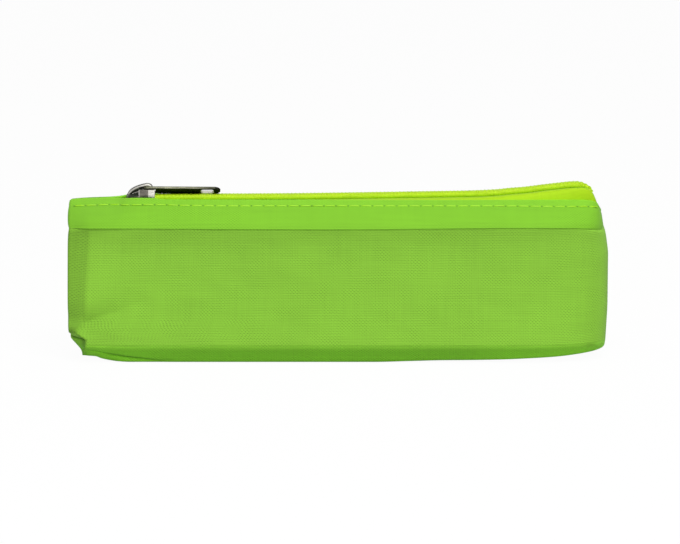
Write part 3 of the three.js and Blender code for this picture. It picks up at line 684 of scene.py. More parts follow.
# edgeLight, edgeShade, overStitch and footShade are amounts of painted light and painted shade on the band
band = {
    "stand": 1.0, "thickness": 1.2, "crown": 0.55, "rows": 18, "pinch": 0.16, "pinchWidth": 0.7, "turnIn": 0.55,
    "edgeLight": 0.25, "edgeShade": 0.65, "overStitch": 0.09, "footShade": 0.05, "wave": (5, 40, 0.09),
    "edgeFrom": 0.955, "edgeRound": 0.045, "turnRun": 0.22, "thinFoot": 0.2, "thinRun": 0.08,
    # place along the case, half gap between the two hems
    "gap": [(-103.9, 0), (-103, 0.35), (-98, 0.5), (-91, 0.8), (-87, 1.5), (-84.5, 2.8), (-82.8, 4.4),
            (-81.3, 5.5), (-79, 6.2), (-75.5, 6.7), (-72, 6.9), (-66, 7.0), (70, 7.0), (88, 6.6), (96, 5.2),
            (100.5, 2.8), (102, 0)],
    # height of the hem
    "hem": [(-103.9, 61.2), (-103, 61.75), (-98, 62.15), (-92, 62.35), (-86, 62.5), (-83, 62.65), (-80, 62.95),
            (-76, 63.08), (-71.5, 63.05), (-68.5, 62.7), (-64, 62.5), (-50, 62.45), (-12, 62.4), (25, 62.3),
            (88, 62.3), (96, 62), (99.6, 61.1), (100.6, 60), (101.6, 58.4), (102, 57.8)],
    # height of the topstitch
    "stitch": [(-103.5, 58.8), (-100, 59.2), (-92.5, 59.6), (-83, 60.05), (-72, 60.38), (-59, 60.08), (-41, 59.92),
               (0, 59.9), (60, 59.85), (85, 59.62), (95, 59.45), (99.2, 59.2), (104, 58.6)],
}


def bandColumns(half):  # foot line and hem line of one half, as matching points
    wall = halfPlan(52)
    x, ahead = wall[:, 0], heading(wall)
    stand = band["stand"] * (0.2 + 0.8 * smooth(x, -103, -96)) * (1 - 0.5 * smooth(x, 96, 103))
    foot = raised(wall + stand[:, None] * np.column_stack([ahead[:, 1], -ahead[:, 0]]), footHeight(*wall.T))
    x = foot[:, 0]
    reach = np.where(x < 0, band["gap"][0][0] / x[0], band["gap"][-1][0] / x[-1])
    hemX = x * (1 + (reach - 1) * smooth(np.abs(x), 60, 104))
    hem = np.column_stack([hemX, -glide(hemX, band["gap"]), glide(hemX, band["hem"])])
    split = np.argmin(np.abs(x - shell["split"]))
    keep = slice(0, split + 1) if half == "left" else slice(split, None)
    return foot[keep], hem[keep]


def bandNormal(foot, hem):  # way out from the band's face
    return unit(np.cross(heading(foot), hem - foot))


def seamHold(foot):  # the band is held flat at the end seams
    return smooth(-foot[:, 1], 1, 13)


def bandCrown(foot, t):  # the band swells between its edges
    return 4 * band["crown"] * t * (1 - t) * seamHold(foot)


def stitchShare(foot, hem):  # how far up the band the topstitch runs
    return np.clip((glide(foot[:, 0], band["stitch"]) - foot[:, 2]) / (hem[:, 2] - foot[:, 2]), 0.4, 0.85)


def bandPoint(foot, hem, t, out):  # point up the band, and out from its face
    lean = hem - foot
    fromStitch = (t - stitchShare(foot, hem)) * np.linalg.norm(lean, axis=1)
    wave = ripples(foot[:, 0], 20 * t + foot[:, 1], *band["wave"]) * math.sin(math.pi * t) * seamHold(foot)
    bulge = bandCrown(foot, t) + wave - band["pinch"] * hump(fromStitch, band["pinchWidth"])
    return foot + lean * t + bandNormal(foot, hem) * (bulge + out)[:, None]


def hemBand(side, half):
    foot, hem = bandColumns(half)
    x, thick = foot[:, 0], band["thickness"] / 2
    spread = np.concatenate([[0, 0.02, 0.04, 0.065, 0.09, 0.12], np.linspace(0.16, 0.93, band["rows"] - 7),
                             [0.95, 0.968, 0.983, 0.994, 1.0]])
    ends = (0.3 + 0.7 * smooth(x, -103, -96)) * (1 - 0.7 * smooth(x, 94, 102))
    outer, inner = [], []
    for t in spread:
        past = max(0.0, t - band["edgeFrom"]) / band["edgeRound"]
        fold = thick * math.sqrt(max(0.02, 1 - past ** 2))  # round at the folded edge
        turn = band["turnIn"] * max(0.0, 1 - t / band["turnRun"]) ** 2 * ends  # the foot is turned in against the wall
        thin = band["thinFoot"] + (1 - band["thinFoot"]) * float(smooth(t, 0, band["thinRun"]))  # thin where it is sewn
        outer.append(bandPoint(foot, hem, t, fold - thick - turn))
        inner.append(bandPoint(foot, hem, t, -turn - (fold + thick) * thin))
    rings = np.stack(outer + inner[::-1], axis=1)
    rings[:, :, 1] *= -sides[side]
    piece = stripMesh("hem_band_%s_%s" % (side, half), rings, bandCloth)
    above = smooth(spread[None] - stitchShare(foot, hem)[:, None], 0, 0.06)  # painted light over the stitch
    light = np.full(len(foot), band["edgeLight"])  # painted highlight at its folded edge; painted shade on the back one at the left
    if side == "back":
        light = light - band["edgeShade"] * fade(x, -94, -84)
    edge = light[:, None] * smooth(spread, 0.93, 0.98)[None]
    # painted shade at the foot, painted light over the stitch, painted highlight at the folded edge inside and out
    outside = band["footShade"] * fade(spread, 0.06, 0.2)[None] - band["overStitch"] * above - edge
    paintLightAndShadeAttribute(piece, np.concatenate([outside, -edge[:, ::-1]], axis=1))
    return piece


def newGroup(name, inputs):  # group with named inputs, not yet filled
    tree = bpy.data.node_groups.new(name, "GeometryNodeTree")
    for label, kind in inputs.items():
        tree.interface.new_socket(label, in_out="INPUT", socket_type="NodeSocket" + kind)
    tree.interface.new_socket("Result", in_out="OUTPUT", socket_type="NodeSocketGeometry")
    return tree, node(tree, "NodeGroupInput").outputs


def endGroup(tree, shape, finish):
    real = node(tree, "GeometryNodeRealizeInstances", {"Geometry": shape}).outputs["Geometry"]
    paint = node(tree, "GeometryNodeSetMaterial", {"Geometry": real, "Material": finish})
    node(tree, "NodeGroupOutput", {"Result": paint.outputs["Geometry"]})
    return tree


# Small repeats set on points: each point carries its own turn
def repeatTree():
    inputs = {"Points": "Geometry", "Piece": "Object", "Size": "Float", "Finish": "Material"}
    tree, start = newGroup("set on points", inputs)
    source = node(tree, "GeometryNodeObjectInfo", {"Object": start["Piece"]})
    turn = node(tree, "GeometryNodeInputNamedAttribute", {"Name": "turn"}, data_type="FLOAT_VECTOR")
    values = {"Points": start["Points"], "Instance": source.outputs["Geometry"],
              "Rotation": turn.outputs["Attribute"], "Scale": start["Size"]}
    place = node(tree, "GeometryNodeInstanceOnPoints", values)
    return endGroup(tree, place.outputs["Instances"], start["Finish"])


# Round filament along a line of points
def filamentTree():
    inputs = {"Line": "Geometry", "Radius": "Float", "Sides": "Int", "Finish": "Material"}
    tree, start = newGroup("filament", inputs)
    line = node(tree, "GeometryNodeMeshToCurve", {"Mesh": start["Line"]})
    ring = node(tree, "GeometryNodeCurvePrimitiveCircle", {"Resolution": start["Sides"], "Radius": start["Radius"]})
    values = {"Curve": line.outputs["Curve"], "Profile Curve": ring.outputs["Curve"], "Fill Caps": True}
    sweep = node(tree, "GeometryNodeCurveToMesh", values)
    soft = node(tree, "GeometryNodeSetShadeSmooth", {"Geometry": sweep.outputs["Mesh"]})
    return endGroup(tree, soft.outputs["Geometry"], start["Finish"])


def runTree(name, tree, points, edges, values, turns=None):  # evaluates a tree and keeps a plain mesh
    seed = bpy.data.meshes.new(name + "_points")
    seed.from_pydata((np.asarray(points) * mm).tolist(), edges, [])
    if turns is not None:
        attribute = seed.attributes.new("turn", "FLOAT_VECTOR", "POINT")
        attribute.data.foreach_set("vector", np.asarray(turns, float).ravel())
    holder = linked(name + "_holder", seed)
    modifier = holder.modifiers.new("repeat", "NODES")
    modifier.node_group = tree
    for item in tree.interface.items_tree:
        if item.in_out == "INPUT" and item.name in values:
            modifier[item.identifier] = values[item.name]
    mesh = evaluated(holder, name)
    bpy.data.objects.remove(holder)
    return linked(name, mesh)


setOnPoints, filament = repeatTree(), filamentTree()


# topstitch: short beads of thread, with a dark dome of painted shade at the needle hole between each two
stitch = {
    "pitch": 4.65, "length": 3.9, "radius": 0.27, "hole": 0.24, "lift": 0.12,
    # share of the length, width and rise at each ring of a bead
    "rings": [(-0.5, 0.35, -0.5), (-0.42, 0.85, 0.1), (-0.2, 1, 0.45), (0.2, 1, 0.45), (0.42, 0.85, 0.1),
              (0.5, 0.35, -0.5)],
}


def threadBead(name, length, radius, flat):
    rings = [[(along * length, wide * radius * math.cos(a), flat * radius * (wide * math.sin(a) + high))
              for a in np.linspace(0, 2 * math.pi, 6, endpoint=False)] for along, wide, high in stitch["rings"]]
    return stripMesh(name, np.array(rings), threadFinish)


beadSource = threadBead("bead_source", stitch["length"], stitch["radius"], 0.8)
holeSource = threadBead("hole_source", 2.2 * stitch["hole"], stitch["hole"], 0.35)


def stitchLine(half):
    foot, hem = bandColumns(half)
    t, normal = stitchShare(foot, hem), bandNormal(foot, hem)
    rise = bandCrown(foot, t) - band["pinch"] + stitch["lift"]
    return foot + (hem - foot) * t[:, None] + normal * rise[:, None], normal


def topstitch(side, half):
    line, normal = stitchLine(half)
    travel, pitch = arcLength(line), stitch["pitch"]
    if half == "left":
        travel = travel[-1] - travel
    order = np.argsort(travel)
    straight = travel[np.abs(heading(line)[:, 0]) > 0.5].max()  # up to the turn of the end
    kinds = (("topstitch", beadSource, threadFinish, np.arange(pitch / 2, straight - 1.6, pitch)),
             ("needle_holes", holeSource, holeShadeFinish, np.arange(0.0, straight, pitch)))

    def along(places, rows):  # rows read off at places along the line, on the side asked for
        found = np.stack([np.interp(places, travel[order], rows[order, k]) for k in range(3)], axis=1)
        return found * [1, -sides[side], 1]

    pieces = []
    for label, source, finish, places in kinds:
        spots, turns = along(places, line), []
        for ahead, up in zip(np.gradient(spots, axis=0), along(places, normal)):
            ahead, up = Vector(ahead).normalized(), Vector(up).normalized()
            if ahead.x < 0:
                ahead.negate()
            cross = up.cross(ahead).normalized()
            turns.append(Matrix((ahead, cross, ahead.cross(cross))).transposed().to_euler())
        values = {"Piece": source, "Size": 1.0, "Finish": finish}
        pieces.append(runTree("%s_%s_%s" % (label, side, half), setOnPoints, spots, [], values, turns))
    return pieces


# zip: tape and coil along a chain that sinks at the left end and stands up in a hump at the right
zipRun = {
    "reach": 100.8, "coilEnd": 98.5, "tapeEdge": 0.8, "tape": 0.5, "tuck": 6.0, "parting": 1.5, "restX": -76.5,
    "height": [(-100, 55.6), (-92, 57), (-86, 58.6), (-82, 59.35), (-76.5, 59.8), (-73, 60.5), (-69, 61.2),
               (-60, 61.22), (-42, 61.22), (-18.7, 61.33), (4.7, 61.63), (28, 62), (51.3, 62.4), (62, 62.9),
               (66.1, 63.35), (72.3, 63.85), (78.6, 64.65), (86.3, 65.55), (90.2, 65.95), (94, 66.05), (96.4, 65.65),
               (97.4, 65.1), (98.2, 64.4), (98.8, 63.55), (99.3, 62.5), (99.9, 61.1), (100.3, 60), (100.8, 58.2)],
    "pitch": 1.5, "foot": -0.05, "rise": 2.35, "outer": 3.15, "cross": 0.4, "filament": 0.45,
    "steps": 14, "sunk": 0.165, "tapeStep": 0.9, "underBand": 1.75, "cordGap": 0.2, "cordStep": 1.2, "cordSides": 12,
    "slim": 0.72, "slimFrom": (92.5, 99), "tapeMost": 5.3, "hemClear": 1.6, "tuckLoss": 0.87, "coilSides": 6,
}


def chainHeight(x):  # top of the tape, on which the coil stands
    return glide(x, zipRun["height"])


def rowShift(x):  # the rows part behind the slider
    return zipRun["parting"] * fade(x - zipRun["restX"], -4.5, 1)


def zipTape(side, half):
    low, high = (-zipRun["reach"], shell["split"]) if half == "left" else (shell["split"], zipRun["reach"])
    stations = np.linspace(low, high, int((high - low) / zipRun["tapeStep"]) + 1)
    wall = halfPlan(52)
    rings = []
    for x in stations:
        h, gap, hem = chainHeight(x), glide(x, band["gap"]), glide(x, band["hem"])
        depth = -np.interp(x, wall[:, 0], wall[:, 1])
        lean = unit(np.array([max(gap + 0.5, depth) - gap, footHeight(x, depth) - hem]))
        under = np.array([gap, hem]) + np.array([lean[1], -lean[0]]) * zipRun["underBand"]
        tuck = zipRun["tuck"] * (1 - zipRun["tuckLoss"] * smooth(x, 86, 97))
        edge = zipRun["tapeEdge"] + rowShift(x)
        wide = max(edge + 0.9, min(zipRun["tapeMost"], gap - zipRun["hemClear"]))
        path = np.array([[edge, h], [edge + 0.5 * (wide - edge), h], [wide, h - 0.15],
                         [max(wide + 0.15, under[0] + 0.25 * lean[0]), 0.5 * (h + under[1]) + 0.2],
                         under + 0.15 * tuck * lean, under + 0.5 * tuck * lean, under + tuck * lean])
        ring = thickRing(eased(path, 16), zipRun["tape"])
        rings.append(np.column_stack([np.full(len(ring), x), sides[side] * ring[:, 0], ring[:, 1]]))
    return stripMesh("zip_tape_%s_%s" % (side, half), np.array(rings), tapeCloth)


def chainPath(half):  # points along the chain, the way up from it, and the length run so far
    low, high = (-zipRun["reach"] + 1, shell["split"]) if half == "left" else (shell["split"], zipRun["coilEnd"])
    x = np.linspace(low, high, int((high - low) / 0.2) + 1)
    line = np.column_stack([x, chainHeight(x)])
    ahead = heading(line)
    return line, np.column_stack([-ahead[:, 1], ahead[:, 0]]), arcLength(line)


def onChain(side, half, run, across, rise):  # points beside and above the chain; it narrows into its right end
    line, up, length = chainPath(half)
    x, h, upX, upZ = (np.interp(run, length, v) for v in (line[:, 0], line[:, 1], up[:, 0], up[:, 1]))
    slim = 1 - zipRun["slim"] * smooth(x, *zipRun["slimFrom"])
    above = slim * (zipRun["foot"] + rise)
    return np.column_stack([x + upX * above, sides[side] * (slim * across + rowShift(x)), h + upZ * above])


def coilSection(inset, angle, power):  # sideways and upright places round the coil's squarish section
    sway, lift = (np.sign(v) * np.abs(v) ** power for v in (np.cos(angle), np.sin(angle)))
    outer, cross, rise = zipRun["outer"], zipRun["cross"], zipRun["rise"]
    return (outer - cross) / 2 + ((outer + cross) / 2 - inset) * sway, rise / 2 + (rise / 2 - inset) * lift


def zipCoil(side, half):
    length, pitch = chainPath(half)[2][-1], zipRun["pitch"]
    turns = int(length / pitch)
    angle = np.linspace(0, 2 * math.pi * turns, turns * zipRun["steps"] + 1)  # from the split, so that halves meet
    if half == "left":
        angle = -angle[::-1]
    run = angle / (2 * math.pi) * pitch + (length if half == "left" else 0)
    section = coilSection(zipRun["filament"], angle + (0 if side == "front" else math.pi), 0.75)
    points = onChain(side, half, run, *section)
    edges = [(k, k + 1) for k in range(len(points) - 1)]
    values = {"Radius": zipRun["filament"] * mm, "Sides": zipRun["coilSides"], "Finish": coilFinish}
    return runTree("zip_coil_%s_%s" % (side, half), filament, points, edges, values)


def zipCord(side, half):  # filler cord that all but fills the coil
    length, gap, count = chainPath(half)[2][-1], zipRun["cordGap"], zipRun["cordSides"]
    angle = np.linspace(0, 2 * math.pi, count, endpoint=False) + math.pi / count
    section = coilSection(zipRun["sunk"], angle, 0.7)
    start, end = (gap, length) if half == "left" else (0, length - gap)
    rings = [onChain(side, half, np.full(count, run), *section)
             for run in np.linspace(start, end, int(length / zipRun["cordStep"]))]
    return stripMesh("zip_cord_%s_%s" % (side, half), np.array(rings), coilFinish)


for side in sides:
    for half in lips:
        rest = "" if half == "left" else "_end"
        hem = hemBand(side, half)
        bendWithLip(hem)
        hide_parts(side + "_band" + rest)
        tape = zipTape(side, half)
        bendWithLip(tape)
        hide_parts("zip_tape_" + side + rest)
        coil = zipCoil(side, half)
        bendWithLip(coil)
        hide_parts("zip_coil_" + side + rest)
        cord = zipCord(side, half)
        bendWithLip(cord)
        for piece in topstitch(side, half):
            bendWithLip(piece)
bpy.data.objects.remove(beadSource)
bpy.data.objects.remove(holeSource)
print("bands, tapes, coils and topstitch made")

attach(outerCloth, "pouch")
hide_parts("outer_base", "outer_front_panel", "outer_back_panel", "outer_left_end", "outer_right_end")


# foil lining: one open-topped tub whose rim turns out over the boards
lining = {
    "depth": 15.2, "floor": 4.7, "top": 51.0, "film": 0.35, "steps": 26, "lift": 0.9, "flat": (-86, 68),
    "rim": [(0.5, 51.5), (1.4, 51.8), (2.6, 51.9), (3.7, 51.95)],
    "leftReach": [(4, 95), (8, 97), (14, 100.5), (22, 102.2), (53, 102.4)],
    "rightReach": [(4, 97), (8, 100), (14, 101.5), (22, 102.0), (53, 101.4)],
}


def liningPlan(z, inset=0.0, spread=0.0):
    left, right = (glide(z, lining[reach]) - inset + 0.3 * spread for reach in ("leftReach", "rightReach"))
    depth, steps = max(0.0, lining["depth"] - inset + spread), lining["steps"]
    start, stop = (end + turn * 0.2 * inset for end, turn in zip(lining["flat"], (1, -1)))
    leftEnd = bezier((-left, 0), (-left, -0.6 * depth), (start - 8, -depth), (start, -depth), steps)
    flat = raised(np.linspace(start, stop, 3 * steps), -depth)
    rightEnd = bezier((stop, -depth), (stop + 14, -depth), (right, -0.6 * depth), (right, 0), steps)
    return np.concatenate([leftEnd, flat[1:], rightEnd[1:]])


def liningHalf(seed):
    rows = []
    for inset in (lining["depth"], 12, 8, 4, 1.5, 0.4):
        plan = liningPlan(lining["floor"], inset)
        rows.append(raised(plan, lining["floor"] + lining["lift"] * baseLift(plan[:, 0])))
    for z in np.concatenate([[5.2], np.linspace(7, lining["top"], 30)]):
        plan = liningPlan(z)
        plan[:, 1] += ripples(plan[:, 0], z, seed, 14, 0.12) * smooth(-plan[:, 1], 2, 10) * fade(z, 46, 51)
        low = np.clip(1 - z / 14, 0, 1)
        rows.append(raised(plan, z + lining["lift"] * low * baseLift(plan[:, 0])))
    rows += [raised(liningPlan(lining["top"], 0, spread), z) for spread, z in lining["rim"]]
    return np.array(rows)


foilLining = tubMesh("foil_lining", liningHalf(31), liningHalf(37), lining["film"], foilFinish)
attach(foilLining, "pouch")
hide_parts("lining_front", "lining_back", "lining_base", "lining_left_end", "lining_right_end")
print("lining made")


# foam boards between cloth and lining, following the cloth
boards = {
    "reach": (-89.0, 78.0), "outer": 1.15, "thickness": 2.4, "low": 7.6, "high": 51.2, "columns": 90,
    "base": {"reach": (-90, 84), "half": 12.6, "top": 3.9, "thickness": 2.6},
}


def foamWall(side):
    x = np.linspace(*boards["reach"], boards["columns"])
    rows = []
    for z in np.linspace(boards["low"], boards["high"], 24):
        plan = wallPlan(z, seeds[side])
        plan = plan[(plan[:, 1] < -10) & (plan[:, 0] > -93)]
        rows.append(raised(np.column_stack([x, np.interp(x, *plan.T) + boards["outer"]]), z))
    grid = np.array(rows)
    if side == "back":
        grid = (grid * [1, -1, 1])[:, ::-1]
    board = sheetMesh("foam_" + side, grid, boards["thickness"], False, foamFinish)
    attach(board, "pouch")
    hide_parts("insulation_%s_board" % side)


def foamBase():
    base = boards["base"]
    x, y = np.meshgrid(np.linspace(*base["reach"], boards["columns"]), np.linspace(-base["half"], base["half"], 12))
    grid = np.stack([x, y, base["top"] + lining["lift"] * baseLift(x)], axis=2)
    board = sheetMesh("foam_base", grid, base["thickness"], False, foamFinish)
    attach(board, "pouch")
    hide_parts("insulation_base_board")


foamWall("front")
foamWall("back")
foamBase()
print("foam boards made")


# binding strips over the two end seams, inside
binding = {"half": 4.4, "thickness": 0.9, "low": 6.5, "high": 51.0, "stand": 0.25, "wave": 0.1, "curve": 0.02,
           "lap": (3.6, 0.8), "ridge": (3.2, 0.4, 0.15)}


def seamBinding(label, sign):
    rings = []
    y = np.linspace(-1, 1, 15) * binding["half"]
    (lap, lapWidth), (ridge, ridgeWidth, high) = binding["lap"], binding["ridge"]
    rim = np.sqrt(np.maximum(0.05, 1 - np.clip((np.abs(y) - lap) / lapWidth, 0, 1) ** 2))
    ridge = high * hump(np.abs(y) - ridge, ridgeWidth)
    for z in np.linspace(binding["low"], binding["high"], 40):
        face = glide(z, lining[label + "Reach"]) - lining["film"] - binding["stand"]
        face = face - binding["wave"] * math.sin(0.5 * z) - binding["curve"] * y * y
        inner = np.column_stack([face - binding["thickness"] * rim + ridge, y])[::-1]
        ring = np.concatenate([np.column_stack([face, y]), inner])
        rings.append(raised(ring * [sign, 1], z))
    strip = stripMesh("binding_" + label, np.array(rings), bindingCloth)
    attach(strip, "pouch")
    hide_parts(label + "_seam_binding")
    return strip


bindings = [seamBinding("left", -1), seamBinding("right", 1)]


# gel pack: film pillow with puckered seals
gel = {"seal": 4.5, "film": 0.8, "columns": 110, "rows": 34, "slack": 1.0, "power": (6, 2.6), "least": 0.55}


def gelPack():
    low, high = (np.array(c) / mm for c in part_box("gel_pack"))
    x = np.linspace(low[0], high[0], gel["columns"])[None, :]
    z = np.linspace(low[2], high[2], gel["rows"])[:, None]
    fromEdge = np.minimum(np.minimum(x - low[0], high[0] - x), np.minimum(z - low[2], high[2] - z))
    middleX = (2 * x - low[0] - high[0]) / (high[0] - low[0])
    middleZ = (2 * z - low[2] - high[2]) / (high[2] - low[2])
    pillow = (1 - np.abs(middleX) ** gel["power"][0]) * (1 - np.abs(middleZ) ** gel["power"][1])
    fill = smooth(fromEdge, gel["seal"] - 1, gel["seal"] + 7) * (gel["least"] + (1 - gel["least"]) * pillow)
    pucker = hump(fromEdge - gel["seal"] - 2, 3.5)
    middle, deep = (low[1] + high[1]) / 2, high[1] - low[1]
    faces = []
    for sign, seed in ((-1, 41), (1, 43)):
        folds = ripples(x, 0.4 * z, seed, 9, 0.5) * pucker + ripples(x, z, seed + 1, 26, 0.25) * fill
        half = gel["film"] / 2 + (deep - gel["film"] - gel["slack"]) / 2 * fill + folds * smooth(fromEdge, 3, 7)
        y = middle + sign * np.clip(half, gel["film"] / 2, deep / 2)
        y = y + 0.25 * np.sin(0.19 * x) * fade(fromEdge, 2, 6)
        faces.append(np.stack(np.broadcast_arrays(x, y, z), axis=2))
    rings = np.concatenate([faces[0], faces[1][::-1]], axis=0).transpose(1, 0, 2)
    pack = stripMesh("gel_pack_film", rings, gelFinish)
    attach(pack, "pouch")
    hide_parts("gel_pack")
    return pack


gelPiece = gelPack()
print("inside pieces made")


# metal: the CAD slider and pull with softened edges, and a stouter bridge with a lug on each side of its foot
metal = {
    "bevel": 0.16, "segments": 2, "angle": 32, "flat": 4, "sharp": 40, "plate": (-75.13, 63.55), "slope": 0.0225,
    "pullShift": (0.6, 0, -0.62), "eyeShare": 0.72,
    "bridge": [(-81.4, 61.8), (-81.0, 63.2), (-80.2, 64.5), (-78.6, 65.6), (-75.8, 66.6), (-73.7, 66.95),
               (-72.75, 66.7), (-72.25, 65.9), (-72.15, 63.2)],
    "bridgeThickness": 1.3, "bridgeWidth": 2.6, "chamfer": 0.16,
    "rib": (3, 18), "ribDrop": 0.95, "ribThickness": 0.75, "ribWidth": 1.9,  # dark rib under the bridge, painted shade standing in for the shade beneath it
    # place, half width and top of the nose under the bridge
    "nose": [(-81.2, 1.6, 62.9), (-80.2, 2.0, 63.4), (-79.6, 2.1, 63.75), (-78.2, 2.2, 64.2), (-76.8, 2.2, 64.7)],
    "lug": [(-77, 4.05), (-76.5, 4.25), (-73.3, 4.3), (-72.6, 4.3), (-70.8, 4.0)], "lugBack": 2.8,
    "lugTop": {"front": 65.55, "back": 64.2}, "noseFoot": 61.2, "lugFoot": 61.0,
    # where painted shade gives way to the mid tone and to painted highlight along the slider, and the slot of the pull
    "noseHighlightFrom": -79.6, "lugMidTone": (-76.6, -73.2), "bodyMidToneFrom": -76.8, "bodyHighlightFrom": -73.5, "plateTop": 63,
    "slot": {"from": -54.5, "to": -48, "half": 1.75},
}


def finishFaces(mesh, finishes, choose):  # lists the finishes and gives each face its own
    mesh.materials.clear()
    for finish in finishes:
        mesh.materials.append(finish)
    mesh.polygons.foreach_set("material_index", [int(choose(face)) for face in mesh.polygons])


def softMetal(name, cadNode, cut, shift):
    form = bmesh.new()
    form.from_mesh(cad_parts[cadNode].data)
    bmesh.ops.remove_doubles(form, verts=form.verts, dist=2e-6)
    if cut:  # the plain CAD bridge goes, level with the plate
        spot, way = Vector((metal["plate"][0], 0, metal["plate"][1])) * mm, Vector((-metal["slope"], 0, 1))
        everything = form.verts[:] + form.edges[:] + form.faces[:]
        bmesh.ops.bisect_plane(form, geom=everything, plane_co=spot, plane_no=way, clear_outer=True, dist=1e-7)
        bmesh.ops.holes_fill(form, edges=[e for e in form.edges if e.is_boundary], sides=0)
    bmesh.ops.dissolve_limit(form, angle_limit=math.radians(metal["flat"]), verts=form.verts, edges=form.edges)
    least = metal["eyeShare"]
    for corner in form.verts:  # less at the eye, which turns on the bridge
        corner.co += Vector(shift) * mm * float(least + (1 - least) * smooth(corner.co.x / mm, -75, -68))
    mesh = bpy.data.meshes.new(name)
    form.to_mesh(mesh)
    form.free()
    piece = linked(name, mesh)
    soften = piece.modifiers.new("soften", "BEVEL")
    soften.width = metal["bevel"] * mm
    soften.segments = metal["segments"]
    soften.limit_method = "ANGLE"
    soften.angle_limit = math.radians(metal["angle"])
    finished = evaluated(piece, name)
    piece.modifiers.clear()
    piece.data = finished
    shadeSmooth(finished)
    finished.set_sharp_from_angle(angle=math.radians(metal["sharp"]))
    return piece


def bridgeBar(name, width, thickness, drop, keep, finish):  # bar along the bridge, or under it
    path = eased(np.array(metal["bridge"]), 30)
    w, h, c = width / 2, thickness / 2, metal["chamfer"]
    ring = [(-w, h - c), (c - w, h), (w - c, h), (w, h - c), (w, c - h), (w - c, -h), (c - w, -h), (-w, c - h)]
    rings = [[(x - dz * (out - drop), y, z + dx * (out - drop)) for y, out in ring]
             for (x, z), (dx, dz) in zip(path, heading(path))]
    return stripMesh(name, np.array(rings[keep]), finish)


def sliderBridge():
    piece = bridgeBar("slider_bridge", metal["bridgeWidth"], metal["bridgeThickness"], 0, slice(None), shadedNickelFinish)
    # painted shade on the bridge's top and underside, painted highlight on its sides
    finishFaces(piece.data, [shadedNickelFinish, highlitStrapFinish], lambda face: abs(face.normal.y) > 0.9)
    return piece


# dark rib of painted shade under the bridge
def shadeRib():
    return bridgeBar("slider_bridge_rib", metal["ribWidth"], metal["ribThickness"], metal["ribDrop"],
                     slice(*metal["rib"]), paintedShadeFinish)


def sliderNose():
    c, low = metal["chamfer"], metal["noseFoot"]
    rings = [[(x, -w, low), (x, -w, top - c), (x, c - w, top), (x, w - c, top), (x, w, top - c), (x, w, low)]
             for x, w, top in metal["nose"]]
    piece = stripMesh("slider_nose", np.array(rings), paintedShadeFinish)
    # painted shade on the nose, painted highlight on its top at the rear
    finishFaces(piece.data, [paintedShadeFinish, paintedHighlightFinish],
                lambda face: face.normal.z > 0.8 and face.center.x > metal["noseHighlightFrom"] * mm)
    return piece


def bridgeLug(side):
    near = [(x, sides[side] * y) for x, y in metal["lug"]]
    outline = np.array(near + [(x, sides[side] * metal["lugBack"]) for x, y in near[::-1]])
    middle = outline.mean(axis=0)
    top, c = metal["lugTop"][side], metal["chamfer"]
    rings = [raised(middle + (outline - middle) * share, z)
             for share, z in ((1, metal["lugFoot"]), (1, top - c), (0.985, top - 0.4 * c), (0.95, top))]
    piece = stripMesh("slider_lug_" + side, np.array(rings), castFinish)
    low, high = metal["lugMidTone"]
    # painted shade on the lug's top, painted highlight at its ends, mid tone between
    finishFaces(piece.data, [castFinish, highlitNickelFinish, shadedNickelFinish], lambda face: 2 if face.normal.z > 0.3 else
                not low * mm <= face.center.x <= high * mm)
    return piece


sliderMetal = softMetal("slider_metal", "slider_body", True, (0, 0, 0))
# painted shade on the nose and the plate's top, mid tone in the middle, painted highlight at the rear
finishFaces(sliderMetal.data, [shadedNickelFinish, castFinish, highlitNickelFinish, paintedShadeFinish],
            lambda face: 3 if face.normal.z > 0.7 and face.center.z > metal["plateTop"] * mm else
            (face.center.x > metal["bodyMidToneFrom"] * mm) + (face.center.x > metal["bodyHighlightFrom"] * mm))
pullMetal = softMetal("pull_metal", "slider_pull", False, metal["pullShift"])
pullFlat = max(pullMetal.data.polygons, key=lambda face: face.area).normal.copy()


def pullFace(face):  # flat, rim with painted reflection and shade, or the wall of the slot with a painted highlight
    slot, (x, y, z) = metal["slot"], face.center / mm
    if abs(face.normal.dot(pullFlat)) >= 0.75:
        return 0
    return 2 if slot["from"] < x < slot["to"] and abs(y) < slot["half"] else 1


# dark flat faces, rim with painted reflection and shade, painted highlight on the slot's wall
finishFaces(pullMetal.data, [pullFinish, rimFinish, paintedHighlightFinish], pullFace)
for piece, body in [(sliderMetal, "slider"), (sliderBridge(), "slider"), (shadeRib(), "slider"),
                    (sliderNose(), "slider"), (bridgeLug("front"), "slider"), (bridgeLug("back"), "slider"),
                    (pullMetal, "pull")]:
    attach(piece, body)
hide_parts("slider_body")
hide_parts("slider_pull")
print("slider and pull made")


# floor, light and camera
studio = {
    "lookAt": (0.0008, 0.0, 0.0328), "distance": 1.3, "elevation": 9.0, "across": 0.2644,
    "key": {"place": (0.2, -0.85, 1.05), "size": 0.8, "power": 14.7},
    "fill": {"place": (0.2, -1.5, 0.35), "size": 0.8, "power": 4},
    "world": 0.3, "bounce": 0.35, "pale": 0.95, "glow": 0.965, "sensor": 36, "floorSize": 8, "floorDrop": 0.0002,
}


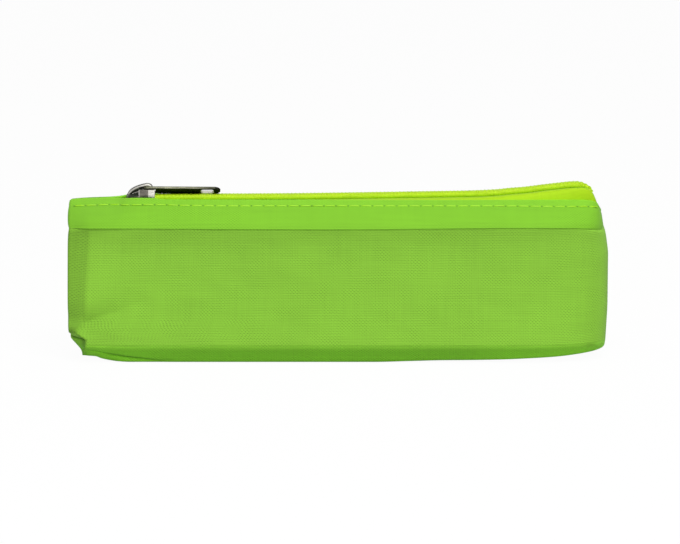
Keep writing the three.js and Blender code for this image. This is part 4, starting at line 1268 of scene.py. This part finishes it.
def seenDirectly(tree):  # camera, mirror and glass rays see the plain white room
    rays = node(tree, "ShaderNodeLightPath")
    seen = sums(tree, "MAXIMUM", rays.outputs["Is Camera Ray"], rays.outputs["Is Glossy Ray"])
    return sums(tree, "MAXIMUM", seen, rays.outputs["Is Transmission Ray"])


def makeFloor():
    bpy.ops.mesh.primitive_plane_add(size=studio["floorSize"], location=(0, 0, -studio["floorDrop"]))
    floor = bpy.context.object
    floor.name = "floor"
    finish, tree, shader = newFinish("pale floor")
    seen = seenDirectly(tree)
    pale = span(tree, seen, 0, 1, studio["bounce"], studio["pale"])
    given(shader, {"Base Color": pale, "Roughness": 0.9, "Specular IOR Level": 0.1})
    glow = node(tree, "ShaderNodeEmission", {"Color": (1, 1, 1, 1)})
    share = sums(tree, "MULTIPLY", seen, studio["glow"])
    mix = node(tree, "ShaderNodeMixShader", {"Fac": share, 1: shader.outputs[0], 2: glow.outputs[0]})
    given(tree.nodes["Material Output"], {"Surface": mix.outputs[0]})
    floor.data.materials.append(finish)


def makeWorld():
    world = bpy.data.worlds.new("studio")
    bpy.context.scene.world = world
    world.use_nodes = True
    tree = world.node_tree
    level = span(tree, seenDirectly(tree), 0, 1, studio["world"], 1)
    given(tree.nodes["Background"], {"Color": (1, 1, 1, 1), "Strength": level})


def aimed(name, data, place):  # lamp or camera turned to the middle of the case
    made = linked(name, data)
    made.location = place
    made.rotation_euler = (Vector(studio["lookAt"]) - made.location).to_track_quat("-Z", "Y").to_euler()
    return made


def makeLamp(name, settings):
    lamp = bpy.data.lights.new(name, "AREA")
    lamp.size, lamp.energy = settings["size"], settings["power"]
    aimed(name, lamp, settings["place"])


def makeCamera():
    lens = bpy.data.cameras.new("camera")
    lens.sensor_width, lens.clip_end = studio["sensor"], 20
    lens.lens = studio["sensor"] * studio["distance"] / studio["across"]
    rise = math.radians(studio["elevation"])
    place = Vector(studio["lookAt"]) + Vector((0, -math.cos(rise), math.sin(rise))) * studio["distance"]
    bpy.context.scene.camera = aimed("camera", lens, place)


makeFloor()
makeWorld()
makeLamp("key softbox", studio["key"])
makeLamp("fill softbox", studio["fill"])
makeCamera()
bpy.context.scene.view_settings.view_transform = "Standard"
print("studio set")
